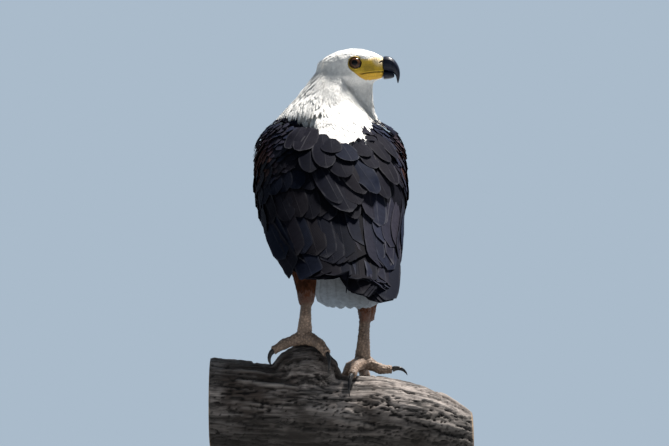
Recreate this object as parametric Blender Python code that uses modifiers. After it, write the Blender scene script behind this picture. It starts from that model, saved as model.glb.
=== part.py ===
"""An African fish eagle on a short cut length of log, held on a display stand.

Metres, +Z up. The origin is the centre of the stand's underside. The log runs along X. The bird has its
back to -Y, with its breast turned YAW to the left of +Y, and looks over its right shoulder along +X.
"""

import math

import bmesh
import bpy
import numpy as np
from mathutils import Matrix, Vector

# ---- driving dimensions ----
GAP = 0.0003  # between pieces that touch

BASE_SIZE = (0.340, 0.240, 0.018)
BASE_EDGE = 0.004
ROD_RADIUS = 0.007
ROD_X = (-0.105, 0.120)
CREST = 0.223  # height of the log's top under the right foot

LOG_FROM, LOG_TO = -0.185, 0.205
LOG_KEYS = [  # x, height of the top over CREST, half the height, half the depth
    (-0.185, 0.031, 0.068, 0.066),
    (-0.110, 0.023, 0.067, 0.068),
    (0.000, 0.005, 0.067, 0.069),
    (0.075, 0.003, 0.066, 0.068),
    (0.115, -0.005, 0.064, 0.066),
    (0.160, -0.021, 0.062, 0.064),
    (0.205, -0.050, 0.059, 0.060),
]
KNOT_CENTRE = (-0.043, -0.008, 0.000)
KNOT_SIZE = (0.055, 0.050, 0.050)

YAW = math.radians(12)
PITCH = math.radians(40)  # the back's slope
SHOULDER = (0.080, 0.340)  # forward of the feet, over CREST
SWING_FROM, SWING = 0.100, -0.06  # the rear of the body bears left behind SWING_FROM

# along the body, half width, half depth, shift to the right and towards the back
TRUNK_KEYS = [
    (-0.060, 0.022, 0.020, 0.004, -0.004),
    (-0.048, 0.050, 0.044, 0.005, -0.004),
    (-0.022, 0.077, 0.068, 0.006, -0.006),
    (0.015, 0.092, 0.079, 0.007, -0.009),
    (0.065, 0.095, 0.082, 0.005, -0.012),
    (0.115, 0.088, 0.075, 0.001, -0.011),
    (0.160, 0.070, 0.058, 0.000, -0.004),
    (0.195, 0.050, 0.038, 0.000, 0.002),
    (0.222, 0.034, 0.022, 0.000, 0.003),
    (0.236, 0.020, 0.012, 0.000, 0.002),
]
# height over CREST, x, y, half width, half depth, share by which the throat's near side falls back
NECK_KEYS = [
    (0.345, -0.006, 0.070, 0.066, 0.042, 0.00),
    (0.372, -0.010, 0.064, 0.079, 0.051, 0.08),
    (0.392, -0.011, 0.064, 0.077, 0.054, 0.22),
    (0.406, -0.008, 0.066, 0.068, 0.051, 0.38),
    (0.425, 0.000, 0.069, 0.058, 0.043, 0.50),
    (0.446, 0.009, 0.070, 0.051, 0.035, 0.50),
    (0.464, 0.015, 0.069, 0.043, 0.029, 0.35),
    (0.478, 0.021, 0.066, 0.032, 0.023, 0.10),
]

# on the back, under the white plumage's point, and its size across, towards the back and along the body
CAPE_AT, CAPE_SIZE = (0.018, 0.012, 0.066), (0.052, 0.029, 0.100)
COLLAR_AT, COLLAR_SLOPE = (-0.052, 0.322), 0.30  # the white plumage's lower limit: y, height, fall towards +Y

EYE_AT = (0.032, 0.0660, 0.485)  # midway between the eyes, over CREST
HEAD_TURN = math.radians(-4)  # of the bill from +X towards -Y
EYE_RADIUS, EYE_OUT, EYE_FORWARD, EYE_UP = 0.0105, 0.0163, 0.0005, -0.0037
# forward of the eyes, top, bottom, half width
HEAD_KEYS = [
    (-0.056, -0.002, -0.024, 0.005),
    (-0.050, 0.006, -0.034, 0.014),
    (-0.040, 0.0125, -0.039, 0.020),
    (-0.028, 0.0175, -0.041, 0.0238),
    (-0.012, 0.0211, -0.040, 0.0252),
    (0.002, 0.0217, -0.036, 0.0240),
    (0.014, 0.0205, -0.0325, 0.0208),
    (0.026, 0.0165, -0.0295, 0.0168),
    (0.036, 0.0112, -0.0272, 0.0136),
    (0.043, 0.0086, -0.0260, 0.0116),
]
BROW_AT, BROW_SIZE = (0.004, 0.0178, 0.0066), (0.0165, 0.0056, 0.0034)
# top forward, top height, bottom forward, bottom height, half width
UPPER_BILL_KEYS = [
    (0.0434, 0.0090, 0.0434, -0.0148, 0.0114),
    (0.0506, 0.0092, 0.0492, -0.0151, 0.0109),
    (0.0584, 0.0053, 0.0551, -0.0157, 0.0097),
    (0.0643, -0.0021, 0.0593, -0.0175, 0.0079),
    (0.0677, -0.0104, 0.0616, -0.0206, 0.0058),
    (0.0685, -0.0187, 0.0629, -0.0245, 0.0038),
    (0.0675, -0.0262, 0.0637, -0.0284, 0.0021),
    (0.0657, -0.0326, 0.0648, -0.0329, 0.0005),
]
# forward, top, bottom, half width
LOWER_BILL_KEYS = [
    (0.0434, -0.0140, -0.0262, 0.0100),
    (0.0490, -0.0142, -0.0259, 0.0088),
    (0.0540, -0.0146, -0.0252, 0.0070),
    (0.0578, -0.0160, -0.0241, 0.0048),
    (0.0598, -0.0184, -0.0226, 0.0024),
]

# along the body, half width on the left and on the right, half depth, angle of the lower edge
WING_KEYS = [
    (-0.055, 0.064, 0.074, 0.056, 96),
    (-0.035, 0.090, 0.104, 0.072, 104),
    (0.000, 0.107, 0.123, 0.086, 110),
    (0.050, 0.115, 0.120, 0.094, 112),
    (0.110, 0.120, 0.111, 0.089, 108),
    (0.160, 0.118, 0.104, 0.077, 102),
    (0.202, 0.113, 0.096, 0.062, 96),
    (0.243, 0.105, 0.087, 0.050, 92),
    (0.290, 0.092, 0.075, 0.040, 88),
    (0.330, 0.077, 0.065, 0.034, 84),
    (0.360, 0.064, 0.055, 0.030, 80),
]
# along the body, angle from the back's midline to where the left wing's inner edge meets the right wing's
WING_MEETING = [(-0.055, 6), (0.030, 15), (0.200, 19), (0.300, 26), (0.360, 31)]
WING_EDGE_GAP = 1.5  # degrees, from the meeting line to each wing
# share of the way from the inner edge to the lower edge, front end on the left and on the right, rear end
WING_ENDS = [
    (0.00, 0.098, 0.084, 0.350),
    (0.12, 0.087, 0.022, 0.351),
    (0.25, 0.061, -0.010, 0.352),
    (0.50, -0.012, -0.036, 0.348),
    (0.75, -0.050, -0.050, 0.340),
    (0.90, -0.044, -0.044, 0.325),
    (1.00, -0.015, -0.015, 0.290),
]
WING_THICKNESS = [(0.0, 0.010), (0.15, 0.016), (0.5, 0.012), (0.8, 0.008), (1.0, 0.006)]
# along the body, right, towards the back, half width, half thickness
PRIMARIES = {
    "right": [
        (0.250, 0.056, 0.014, 0.018, 0.0055),
        (0.300, 0.050, 0.012, 0.025, 0.0055),
        (0.345, 0.040, 0.009, 0.029, 0.0050),
        (0.371, 0.034, 0.007, 0.025, 0.0040),
        (0.383, 0.032, 0.006, 0.015, 0.0030),
    ],
    "left": [
        (0.250, -0.030, 0.028, 0.020, 0.0055),
        (0.300, -0.006, 0.025, 0.024, 0.0055),
        (0.345, 0.011, 0.021, 0.025, 0.0050),
        (0.371, 0.018, 0.018, 0.020, 0.0040),
        (0.383, 0.020, 0.016, 0.011, 0.0030),
    ],
}
TAIL_KEYS = [
    (0.195, 0.000, 0.006, 0.026, 0.0090),
    (0.240, 0.001, 0.000, 0.032, 0.0070),
    (0.300, 0.000, -0.007, 0.038, 0.0055),
    (0.343, -0.003, -0.011, 0.042, 0.0048),
    (0.364, -0.004, -0.012, 0.041, 0.0042),
    (0.375, -0.005, -0.012, 0.033, 0.0036),
    (0.380, -0.005, -0.012, 0.021, 0.0030),
]

# x, y, height over CREST
CUFF = {"left": (-0.042, -0.035, 0.110), "right": (0.048, -0.008, 0.086)}  # the thigh feathers' lower end
HOCK = {"left": (-0.041, -0.042, 0.128), "right": (0.046, -0.024, 0.106)}
KNEE = {"left": (-0.046, 0.024, 0.236), "right": (0.044, 0.040, 0.232)}
ANKLE = {"left": (-0.045, -0.010, 0.066), "right": (0.042, 0.008, 0.032)}
TARSUS_RADIUS = (0.0095, 0.0088, 0.0082, 0.0122)  # from the hock to the toes
THIGH_RADIUS = (0.0108, 0.0215, 0.039, 0.042, 0.026)  # from the cuff to the rounded end above the knee
THIGH_END = (-0.018, 0.020, 0.030)  # from the knee to that end: outwards, forward and up
TOE_RADIUS = (0.0090, 0.0074, 0.0062)
# each toe's middle line from the ankle's foot, then its claw's length and the way it first points
TOES = {
    "left": {
        "outer": ([(-0.056, -0.014, 0.057), (-0.075, -0.020, 0.050), (-0.091, -0.026, 0.040)],
                  0.026, (-0.60, -0.25, -0.45)),
        "hind": ([(-0.035, -0.024, 0.057), (-0.021, -0.040, 0.048), (-0.011, -0.051, 0.035)],
                 0.032, (0.30, -0.65, -0.50)),
        "middle": ([(-0.048, 0.004, 0.058), (-0.053, 0.026, 0.051), (-0.058, 0.045, 0.031),
                    (-0.062, 0.055, 0.010)], 0.027, (-0.10, 0.75, -0.45)),
        "inner": ([(-0.038, 0.000, 0.057), (-0.024, 0.016, 0.053), (-0.016, 0.034, 0.038)],
                  0.030, (0.20, 0.75, -0.40)),
    },
    "right": {
        "outer": ([(0.053, 0.006, 0.021), (0.069, 0.002, 0.014), (0.086, 0.000, 0.0130)],
                  0.028, (0.90, 0.02, 0.50)),
        "hind": ([(0.037, -0.008, 0.021), (0.031, -0.030, 0.016), (0.026, -0.050, 0.003)],
                 0.040, (-0.30, -0.90, -0.35)),
        "middle": ([(0.042, 0.022, 0.018), (0.046, 0.044, 0.004), (0.050, 0.062, -0.018)],
                   0.028, (0.10, 0.85, -0.40)),
        "inner": ([(0.032, 0.018, 0.020), (0.023, 0.031, 0.018), (0.016, 0.044, 0.004)],
                  0.030, (-0.30, 0.75, -0.30)),
    },
}
CLAW_RADIUS, CLAW_TURN = 0.0042, math.radians(100)

# ---- the bird's own directions ----
UP = Vector((0, 0, 1))
FORWARD = Vector((-math.sin(YAW), math.cos(YAW), 0))
RIGHT = Vector((math.cos(YAW), math.sin(YAW), 0))
TAILWARD = -FORWARD * math.cos(PITCH) - UP * math.sin(PITCH)
DORSAL = -FORWARD * math.sin(PITCH) + UP * math.cos(PITCH)
BILLWARD = Vector((math.cos(HEAD_TURN), math.sin(HEAD_TURN), 0))
HEAD_LEFT = UP.cross(BILLWARD)
EYES = Vector(EYE_AT) + UP * CREST
SIDES = {"left": -1, "right": 1}

MATERIALS = {  # colour, roughness, metallic
    "white_plumage": ((0.86, 0.85, 0.83), 0.75, 0.0),
    "dark_plumage": ((0.035, 0.034, 0.040), 0.60, 0.0),
    "chestnut_plumage": ((0.16, 0.055, 0.028), 0.70, 0.0),
    "leg_skin": ((0.52, 0.40, 0.25), 0.60, 0.0),
    "horn": ((0.018, 0.019, 0.026), 0.28, 0.0),
    "eye": ((0.035, 0.018, 0.010), 0.08, 0.0),
    "wood": ((0.25, 0.20, 0.16), 0.85, 0.0),
    "stand_board": ((0.060, 0.038, 0.024), 0.40, 0.0),
    "stand_steel": ((0.55, 0.55, 0.56), 0.35, 1.0),
}


def body_point(along, right, dorsal):
    """A point by its distance behind the shoulder, and its offsets to the right and the back."""
    start = FORWARD * SHOULDER[0] + UP * (CREST + SHOULDER[1])
    swung = right + SWING * max(0.0, along - SWING_FROM)
    return start + TAILWARD * along + RIGHT * swung + DORSAL * dorsal


def head_point(forward, left, up):
    return EYES + BILLWARD * forward + HEAD_LEFT * left + UP * up


def over_crest(x, y, height):
    return Vector((x, y, CREST + height))


def through(keys, places):
    """Values at these places on the smooth curve through keys, whose first column is the place."""
    keys = np.array(keys, float)
    at, values = keys[:, 0], keys[:, 1:]
    slopes = np.gradient(values, at, axis=0)
    places = np.clip(np.atleast_1d(places), at[0], at[-1])
    i = np.clip(np.searchsorted(at, places) - 1, 0, len(at) - 2)
    step = (at[i + 1] - at[i])[:, None]
    t = (places - at[i])[:, None] / step
    return (
        (2 * t**3 - 3 * t**2 + 1) * values[i]
        + (t**3 - 2 * t**2 + t) * step * slopes[i]
        + (3 * t**2 - 2 * t**3) * values[i + 1]
        + (t**3 - t**2) * step * slopes[i + 1]
    )


def evenly(keys, count):
    """Places that share out the stretch of keys evenly."""
    return np.linspace(keys[0][0], keys[-1][0], count)


# ---- modelling helpers ----
def clear_scene():
    for obj in list(bpy.data.objects):
        bpy.data.objects.remove(obj)


def material(name):
    found = bpy.data.materials.get(name)
    if found:
        return found
    colour, roughness, metallic = MATERIALS[name]
    made = bpy.data.materials.new(name)
    made.use_nodes = True
    shader = made.node_tree.nodes["Principled BSDF"]
    shader.inputs["Base Color"].default_value = (*colour, 1)
    shader.inputs["Roughness"].default_value = roughness
    shader.inputs["Metallic"].default_value = metallic
    made.diffuse_color = (*colour, 1)
    return made


def object_of(name, mesh, finish=None):
    bm = bmesh.new()
    bm.from_mesh(mesh)
    bmesh.ops.triangulate(bm, faces=bm.faces[:])
    bm.to_mesh(mesh)
    bm.free()
    obj = bpy.data.objects.new(name, mesh)
    bpy.data.collections["eagle"].objects.link(obj)
    if finish:
        mesh.materials.clear()
        mesh.materials.append(material(finish))
    return obj


def ring(centre, across, up, half_across, half_up, count, power=2.0):
    """A closed loop of points on an oval, squarer as power grows."""
    points = []
    for i in range(count):
        turn = 2 * math.pi * i / count
        c, s = math.cos(turn), math.sin(turn)
        points.append(
            centre
            + across * half_across * math.copysign(abs(c) ** (2 / power), c)
            + up * half_up * math.copysign(abs(s) ** (2 / power), s)
        )
    return points


def loft(name, rings, finish=None):
    """A closed body through these rings of points, flat at both ends."""
    bm = bmesh.new()
    loops = [[bm.verts.new(point) for point in points] for points in rings]
    for a, b in zip(loops, loops[1:]):
        for i in range(len(a)):
            j = (i + 1) % len(a)
            bm.faces.new((a[i], a[j], b[j], b[i]))
    bm.faces.new(loops[0])
    bm.faces.new(loops[-1])
    bmesh.ops.recalc_face_normals(bm, faces=bm.faces)
    mesh = bpy.data.meshes.new(name)
    bm.to_mesh(mesh)
    bm.free()
    return object_of(name, mesh, finish)


def tube(name, path, radii, count, finish=None):
    """A closed body along a smooth path, with its radii spread evenly along it."""
    keys = [(i, *point) for i, point in enumerate(path)]
    steps = 3 * (len(path) - 1) + 1
    places = evenly(keys, steps)
    points = [Vector(p) for p in through(keys, places)]
    radius_keys = [(i, r) for i, r in enumerate(radii)]
    sizes = through(radius_keys, np.linspace(0, len(radii) - 1, steps))[:, 0]
    rings = []
    whole_way = (points[-1] - points[0]).normalized()
    across = whole_way.cross(UP if abs(whole_way.z) < 0.8 else FORWARD)
    for i, (point, size) in enumerate(zip(points, sizes)):
        way = (points[min(i + 1, steps - 1)] - points[max(i - 1, 0)]).normalized()
        across = (across - way * across.dot(way)).normalized()
        rings.append(ring(point, across, across.cross(way), size, size, count))
    return loft(name, rings, finish)


def ellipsoid(name, centre, size, axes=None):
    bm = bmesh.new()
    bmesh.ops.create_uvsphere(bm, u_segments=14, v_segments=9, radius=1)
    turn = Matrix(axes).transposed().to_4x4() if axes else Matrix.Identity(4)
    bmesh.ops.transform(
        bm, matrix=Matrix.Translation(centre) @ turn @ Matrix.Diagonal((*size, 1)), verts=bm.verts
    )
    mesh = bpy.data.meshes.new(name)
    bm.to_mesh(mesh)
    bm.free()
    return object_of(name, mesh)


def settle(obj):
    """Replaces the object's mesh with the one that its modifiers give."""
    graph = bpy.context.evaluated_depsgraph_get()
    finishes = list(obj.data.materials)
    mesh = bpy.data.meshes.new_from_object(obj.evaluated_get(graph))
    obj.modifiers.clear()
    obj.data = mesh
    mesh.materials.clear()
    for finish in finishes:
        mesh.materials.append(finish)
    return obj


def keep_largest(obj):
    """Drops the crumbs that a cut left beside the main body."""
    bm = bmesh.new()
    bm.from_mesh(obj.data)
    left, groups = set(bm.verts), []
    while left:
        reached, edge = set(), [left.pop()]
        while edge:
            vert = edge.pop()
            reached.add(vert)
            for e in vert.link_edges:
                other = e.other_vert(vert)
                if other in left:
                    left.discard(other)
                    edge.append(other)
        groups.append(reached)
    main = max(groups, key=len)
    bmesh.ops.delete(bm, geom=[v for v in bm.verts if v not in main], context="VERTS")
    bm.to_mesh(obj.data)
    bm.free()
    return obj


def boolean(obj, other, operation):
    cut = obj.modifiers.new(operation.lower(), "BOOLEAN")
    cut.object, cut.operation, cut.solver = other, operation, "EXACT"
    return settle(obj)


def swollen(obj, by):
    """A cutter: the object's shape, this much larger all round."""
    mesh = obj.data.copy()
    normals = [v.normal.copy() for v in mesh.vertices]
    for vert, normal in zip(mesh.vertices, normals):
        vert.co += normal * by
    return object_of(obj.name + "_cutter", mesh)


def trim(obj, *others):
    """Takes the others out of obj, with GAP left between."""
    for other in others:
        cutter = swollen(other, GAP)
        boolean(obj, cutter, "DIFFERENCE")
        bpy.data.objects.remove(cutter)
    return keep_largest(obj)


def fuse(name, pieces, voxel, triangles, smoothing, finish=None):
    """One smooth skin round several overlapping bodies."""
    bm = bmesh.new()
    for piece in pieces:
        bm.from_mesh(piece.data)
    mesh = bpy.data.meshes.new(name)
    bm.to_mesh(mesh)
    bm.free()
    for piece in pieces:
        bpy.data.objects.remove(piece)
    obj = object_of(name, mesh, finish)
    remesh = obj.modifiers.new("remesh", "REMESH")
    remesh.mode, remesh.voxel_size = "VOXEL", voxel
    soften = obj.modifiers.new("soften", "SMOOTH")
    soften.factor, soften.iterations = 0.5, smoothing
    settle(obj)
    thin = obj.modifiers.new("thin", "DECIMATE")
    thin.ratio = min(1.0, triangles / (2 * len(obj.data.polygons)))
    return keep_largest(settle(obj))


def sliced(whole, name, planes, finish):
    """The piece of whole on the positive side of each plane, which is a point and a normal."""
    bm = bmesh.new()
    bm.from_mesh(whole.data)
    for point, normal in planes:
        cut = bmesh.ops.bisect_plane(
            bm, geom=bm.verts[:] + bm.edges[:] + bm.faces[:],
            plane_co=point, plane_no=normal, clear_inner=True,
        )
        rim = [e for e in cut["geom_cut"] if isinstance(e, bmesh.types.BMEdge)]
        bmesh.ops.holes_fill(bm, edges=rim)
    bmesh.ops.triangulate(bm, faces=[f for f in bm.faces if len(f.verts) > 4])
    mesh = bpy.data.meshes.new(name)
    bm.to_mesh(mesh)
    bm.free()
    return keep_largest(object_of(name, mesh, finish))


# ---- the log and the stand ----
def make_perch():
    rings = []
    for x in np.linspace(LOG_FROM, LOG_TO, 12):
        top, half_height, half_depth = through(LOG_KEYS, x)[0]
        centre = over_crest(x, 0, top - half_height)
        rings.append(ring(centre, Vector((0, 1, 0)), UP, half_depth, half_height, 22, 2.1))
    log = loft("perch", rings, "wood")
    knot = ellipsoid("knot", over_crest(*KNOT_CENTRE), KNOT_SIZE)
    boolean(log, knot, "UNION")
    bpy.data.objects.remove(knot)
    return log


def make_stand(perch):
    bm = bmesh.new()
    bmesh.ops.create_cube(bm, size=1, matrix=Matrix.Diagonal((*BASE_SIZE, 1)))
    bmesh.ops.translate(bm, verts=bm.verts, vec=(0, 0, BASE_SIZE[2] / 2))
    mesh = bpy.data.meshes.new("stand_base")
    bm.to_mesh(mesh)
    bm.free()
    base = object_of("stand_base", mesh, "stand_board")
    edge = base.modifiers.new("edge", "BEVEL")
    edge.width, edge.segments = BASE_EDGE, 2
    settle(base)
    for side, x in zip(("left", "right"), ROD_X):
        low, high = BASE_SIZE[2] + GAP, CREST - 0.060
        bm = bmesh.new()
        bmesh.ops.create_cone(
            bm, cap_ends=True, segments=20, radius1=ROD_RADIUS, radius2=ROD_RADIUS, depth=high - low,
            matrix=Matrix.Translation((x, 0, (low + high) / 2)),
        )
        mesh = bpy.data.meshes.new("stand_rod")
        bm.to_mesh(mesh)
        bm.free()
        trim(object_of("stand_rod_" + side, mesh, "stand_steel"), perch)


# ---- trunk, neck and head ----
def trunk_body():
    rings = []
    for along in evenly(TRUNK_KEYS, 18):
        half_width, half_depth, to_right, to_back = through(TRUNK_KEYS, along)[0]
        rings.append(ring(body_point(along, to_right, to_back), RIGHT, DORSAL, half_width, half_depth, 28))
    return loft("trunk_body", rings)


def neck_body():
    rings = []
    for height in evenly(NECK_KEYS, 12):
        x, y, half_width, half_depth, hollow = through(NECK_KEYS, height)[0]
        centre = over_crest(x, y, height)
        points = ring(centre, Vector((1, 0, 0)), Vector((0, 1, 0)), half_width, half_depth, 28)
        for point in points:
            to_throat = max(0.0, (point.x - x) / half_width)
            if point.y < y:
                point.y = y + (point.y - y) * (1 - hollow * to_throat)
        rings.append(points)
    return loft("neck_body", rings)


def head_body():
    rings = []
    for forward in evenly(HEAD_KEYS, 22):
        top, bottom, half_width = through(HEAD_KEYS, forward)[0]
        centre = head_point(forward, 0, (top + bottom) / 2)
        rings.append(ring(centre, HEAD_LEFT, UP, half_width, (top - bottom) / 2, 28, 2.25))
    return loft("head_body", rings)


def make_bill():
    rings = []
    for place in np.linspace(0, len(UPPER_BILL_KEYS) - 1, 13):
        keys = [(i, *key) for i, key in enumerate(UPPER_BILL_KEYS)]
        top_forward, top, bottom_forward, bottom, half_width = through(keys, place)[0]
        high, low = head_point(top_forward, 0, top), head_point(bottom_forward, 0, bottom)
        centre, rise = (high + low) / 2, high - low
        rings.append(ring(centre, HEAD_LEFT, rise.normalized(), half_width, rise.length / 2, 14, 2.3))
    upper = loft("bill_upper", rings, "horn")
    rings = []
    for forward in evenly(LOWER_BILL_KEYS, 7):
        top, bottom, half_width = through(LOWER_BILL_KEYS, forward)[0]
        centre = head_point(forward, 0, (top + bottom) / 2)
        rings.append(ring(centre, HEAD_LEFT, UP, half_width, (top - bottom) / 2, 12, 2.4))
    trim(loft("bill_lower", rings, "horn"), upper)


def make_eyes():
    eyes = []
    for side, sign in (("left", 1), ("right", -1)):
        at = head_point(EYE_FORWARD, sign * EYE_OUT, EYE_UP)
        axes = (HEAD_LEFT, BILLWARD.cross(HEAD_LEFT), BILLWARD)
        eye = ellipsoid("eye_" + side, at, (EYE_RADIUS,) * 3, axes)
        eye.data.materials.append(material("eye"))
        eyes.append(eye)
    return eyes


def make_body():
    """Head, neck and trunk as one smooth form, then parted by thin cuts, with the eyes' sockets."""
    brows = [
        ellipsoid("brow", head_point(BROW_AT[0], sign * BROW_AT[1], BROW_AT[2]), BROW_SIZE,
                  (BILLWARD, HEAD_LEFT, UP))
        for sign in (1, -1)
    ]
    cape = ellipsoid("cape", body_point(*CAPE_AT), CAPE_SIZE, (RIGHT, DORSAL, TAILWARD))
    whole = fuse("whole", [trunk_body(), neck_body(), head_body(), cape, *brows], 0.003, 1400, 3)
    nape = head_point(-0.046, 0, -0.012)
    chin = head_point(0.022, 0, -0.034)
    head_up = HEAD_LEFT.cross(chin - nape).normalized()
    head_up *= math.copysign(1, head_up.z)
    collar = over_crest(0, *COLLAR_AT)
    collar_up = Vector((0, COLLAR_SLOPE, 1)).normalized()
    front = head_point(0.0430, 0, 0)
    head = sliced(whole, "head", [(nape, head_up), (front, -BILLWARD)], "white_plumage")
    neck = sliced(whole, "neck", [(nape - head_up * GAP, -head_up), (collar, collar_up)], "white_plumage")
    trunk = sliced(whole, "trunk", [(collar - collar_up * GAP, -collar_up)], "chestnut_plumage")
    bpy.data.objects.remove(whole)
    trim(head, *make_eyes())
    return neck, trunk


# ---- wings and tail ----
def wing_point(side, across, length):
    """A point on the folded wing's outside, by its shares of the way down and back."""
    left_front, right_front, rear = through(WING_ENDS, across)[0]
    front = left_front if side == "left" else right_front
    along = front + (rear - front) * length
    left_width, right_width, half_depth, low_angle = through(WING_KEYS, along)[0]
    half_width = left_width if side == "left" else right_width
    inner_angle = SIDES[side] * through(WING_MEETING, along)[0][0] + WING_EDGE_GAP
    turn = math.radians(inner_angle + (low_angle - inner_angle) * across)
    return body_point(along, SIDES[side] * half_width * math.sin(turn), half_depth * math.cos(turn))


def make_wing(side):
    rows, columns = 11, 9
    bm = bmesh.new()
    grid = [
        [bm.verts.new(wing_point(side, j / (columns - 1), i / (rows - 1))) for j in range(columns)]
        for i in range(rows)
    ]
    for a, b in zip(grid, grid[1:]):
        for j in range(columns - 1):
            bm.faces.new((a[j], a[j + 1], b[j + 1], b[j])[:: -SIDES[side]])
    mesh = bpy.data.meshes.new("wing_" + side)
    bm.to_mesh(mesh)
    bm.free()
    wing = object_of("wing_" + side, mesh, "dark_plumage")
    thickest = max(t for _, t in WING_THICKNESS)
    weights = wing.vertex_groups.new(name="thickness")
    for index in range(rows * columns):
        thickness = through(WING_THICKNESS, (index // columns) / (rows - 1))[0][0]
        weights.add([index], float(thickness) / thickest, "REPLACE")
    shell = wing.modifiers.new("shell", "SOLIDIFY")
    shell.thickness, shell.offset, shell.vertex_group = thickest, -1, "thickness"
    return settle(wing)


def blade(name, keys, finish):
    """A flat feathered body along the rear of the bird."""
    rings = []
    for along in evenly(keys, 9):
        right, dorsal, half_width, half_thickness = through(keys, along)[0]
        centre = body_point(along, right, dorsal)
        rings.append(ring(centre, RIGHT, DORSAL, half_width, half_thickness, 12, 2.6))
    return loft(name, rings, finish)


def make_wings_and_tail(neck, trunk):
    wings = {side: make_wing(side) for side in SIDES}
    for wing in wings.values():
        trim(wing, trunk, neck)
    trim(wings["right"], wings["left"])
    tips = {side: blade(f"wing_{side}_tip", PRIMARIES[side], "dark_plumage") for side in SIDES}
    trim(tips["left"], *wings.values())
    trim(tips["right"], tips["left"], *wings.values())
    tail = blade("tail", TAIL_KEYS, "white_plumage")
    trim(tail, trunk, *tips.values(), *wings.values())
    return wings


# ---- legs ----
def make_thigh(side, trunk, wings):
    cuff, knee = over_crest(*CUFF[side]), over_crest(*KNEE[side])
    middle = cuff.lerp(knee, 0.5) - FORWARD * 0.010
    outwards, forward, up = THIGH_END
    end = knee + RIGHT * SIDES[side] * outwards + FORWARD * forward + UP * up
    thigh = tube("thigh_" + side, [cuff, middle, knee, end], THIGH_RADIUS, 14, "chestnut_plumage")
    return trim(thigh, trunk, *wings.values())


def make_claw(name, base, way, length):
    """A claw that curves down from the way its toe points."""
    way = way.normalized()
    across = way.cross(UP).normalized()
    radius = length / CLAW_TURN
    centre = base + across.cross(way).normalized() * -radius
    rings = []
    for step in range(7):
        share = step / 6
        turn = -CLAW_TURN * share
        spin = Matrix.Rotation(turn, 3, across)
        point = centre + spin @ (base - centre)
        up = (spin @ (base - centre)).normalized()
        size = CLAW_RADIUS * (1 - share) ** 0.75 + 0.0004
        rings.append(ring(point, across, up, size * 0.8, size, 7))
    return loft(name, rings, "horn")


def toe_end(side, name):
    """Where a toe's claw starts, and the way it points."""
    points, _, way = TOES[side][name]
    return over_crest(*points[-1]), Vector(way)


def make_foot(side, perch):
    pieces = []
    ankle = over_crest(*ANKLE[side])
    for name, (points, _, _) in TOES[side].items():
        path = [ankle - UP * 0.006] + [over_crest(*p) for p in points]
        joints = 2 * len(path) - 1
        radii = [TOE_RADIUS[min(i * 3 // joints, 2)] * (1.0 if i % 2 else 1.12) for i in range(joints)]
        pieces.append(tube("toe_" + name, path, radii, 12))
    pieces.append(ellipsoid("pad", ankle - UP * 0.010, (0.0125, 0.0125, 0.0095)))
    foot = fuse("foot_" + side, pieces, 0.0013, 395, 2, "leg_skin")
    return trim(foot, perch)


def make_legs(perch, trunk, wings):
    for side in SIDES:
        thigh = make_thigh(side, trunk, wings)
        foot = make_foot(side, perch)
        hock, ankle = over_crest(*HOCK[side]), over_crest(*ANKLE[side])
        top = hock.lerp(over_crest(*KNEE[side]), 0.3)
        path = [top, hock, hock.lerp(ankle, 0.5), ankle - UP * 0.004]
        shank = tube("shank_" + side, path, TARSUS_RADIUS, 10, "leg_skin")
        trim(shank, thigh, foot)
        for name, (_, length, _) in TOES[side].items():
            base, way = toe_end(side, name)
            claw = make_claw(f"claw_{side}_{name}", base, way, length)
            trim(claw, foot, perch)


def main():
    clear_scene()
    eagle = bpy.data.collections.new("eagle")
    bpy.context.scene.collection.children.link(eagle)
    perch = make_perch()
    make_stand(perch)
    neck, trunk = make_body()
    make_bill()
    wings = make_wings_and_tail(neck, trunk)
    make_legs(perch, trunk, wings)
    for obj in eagle.objects:
        obj.data.shade_smooth()
        obj.data.set_sharp_from_angle(angle=math.radians(40))


main()
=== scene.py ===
"""Looks of the African fish eagle on its log: skin, plumage, bill, eyes, feet, wood and stand.

Metres, +Z up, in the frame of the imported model. The bird's own directions and its driving sizes are those
of the model's source. "Along" is the distance behind the shoulder, down the body. An "angle" is taken from
the back's midline to the right, in degrees.
"""

import math

import bmesh
import bpy
import numpy as np
from mathutils import Matrix, Vector, noise
from mathutils.bvhtree import BVHTree


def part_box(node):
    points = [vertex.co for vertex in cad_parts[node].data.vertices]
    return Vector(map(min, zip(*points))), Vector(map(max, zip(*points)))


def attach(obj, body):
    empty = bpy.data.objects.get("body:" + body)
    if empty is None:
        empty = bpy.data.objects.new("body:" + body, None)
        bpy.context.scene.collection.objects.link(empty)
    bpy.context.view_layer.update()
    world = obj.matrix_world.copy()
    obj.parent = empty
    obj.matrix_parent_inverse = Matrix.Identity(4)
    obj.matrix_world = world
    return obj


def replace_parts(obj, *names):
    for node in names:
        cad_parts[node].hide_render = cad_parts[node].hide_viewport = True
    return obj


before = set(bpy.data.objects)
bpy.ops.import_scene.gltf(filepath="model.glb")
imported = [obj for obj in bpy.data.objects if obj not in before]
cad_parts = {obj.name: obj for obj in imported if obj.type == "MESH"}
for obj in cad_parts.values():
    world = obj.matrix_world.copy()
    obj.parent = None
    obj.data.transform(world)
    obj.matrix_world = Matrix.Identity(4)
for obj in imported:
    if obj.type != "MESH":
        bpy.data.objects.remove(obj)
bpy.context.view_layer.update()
RANDOM = np.random.default_rng(11)

# ---- the bird's directions and sizes, as in the model's source ----
CREST = 0.223  # height of the log's top, which the bird's own heights are counted from
YAW, PITCH = math.radians(12), math.radians(40)
SHOULDER = (0.080, 0.340)
SWING_FROM, SWING = 0.100, -0.06
EYE_AT, HEAD_TURN = (0.032, 0.0660, 0.485), math.radians(-4)
EYE_RADIUS, EYE_OUT, EYE_FORWARD, EYE_UP = 0.0105, 0.0163, 0.0005, -0.0037
COLLAR_AT, COLLAR_SLOPE = (-0.052, 0.322), 0.30
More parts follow.
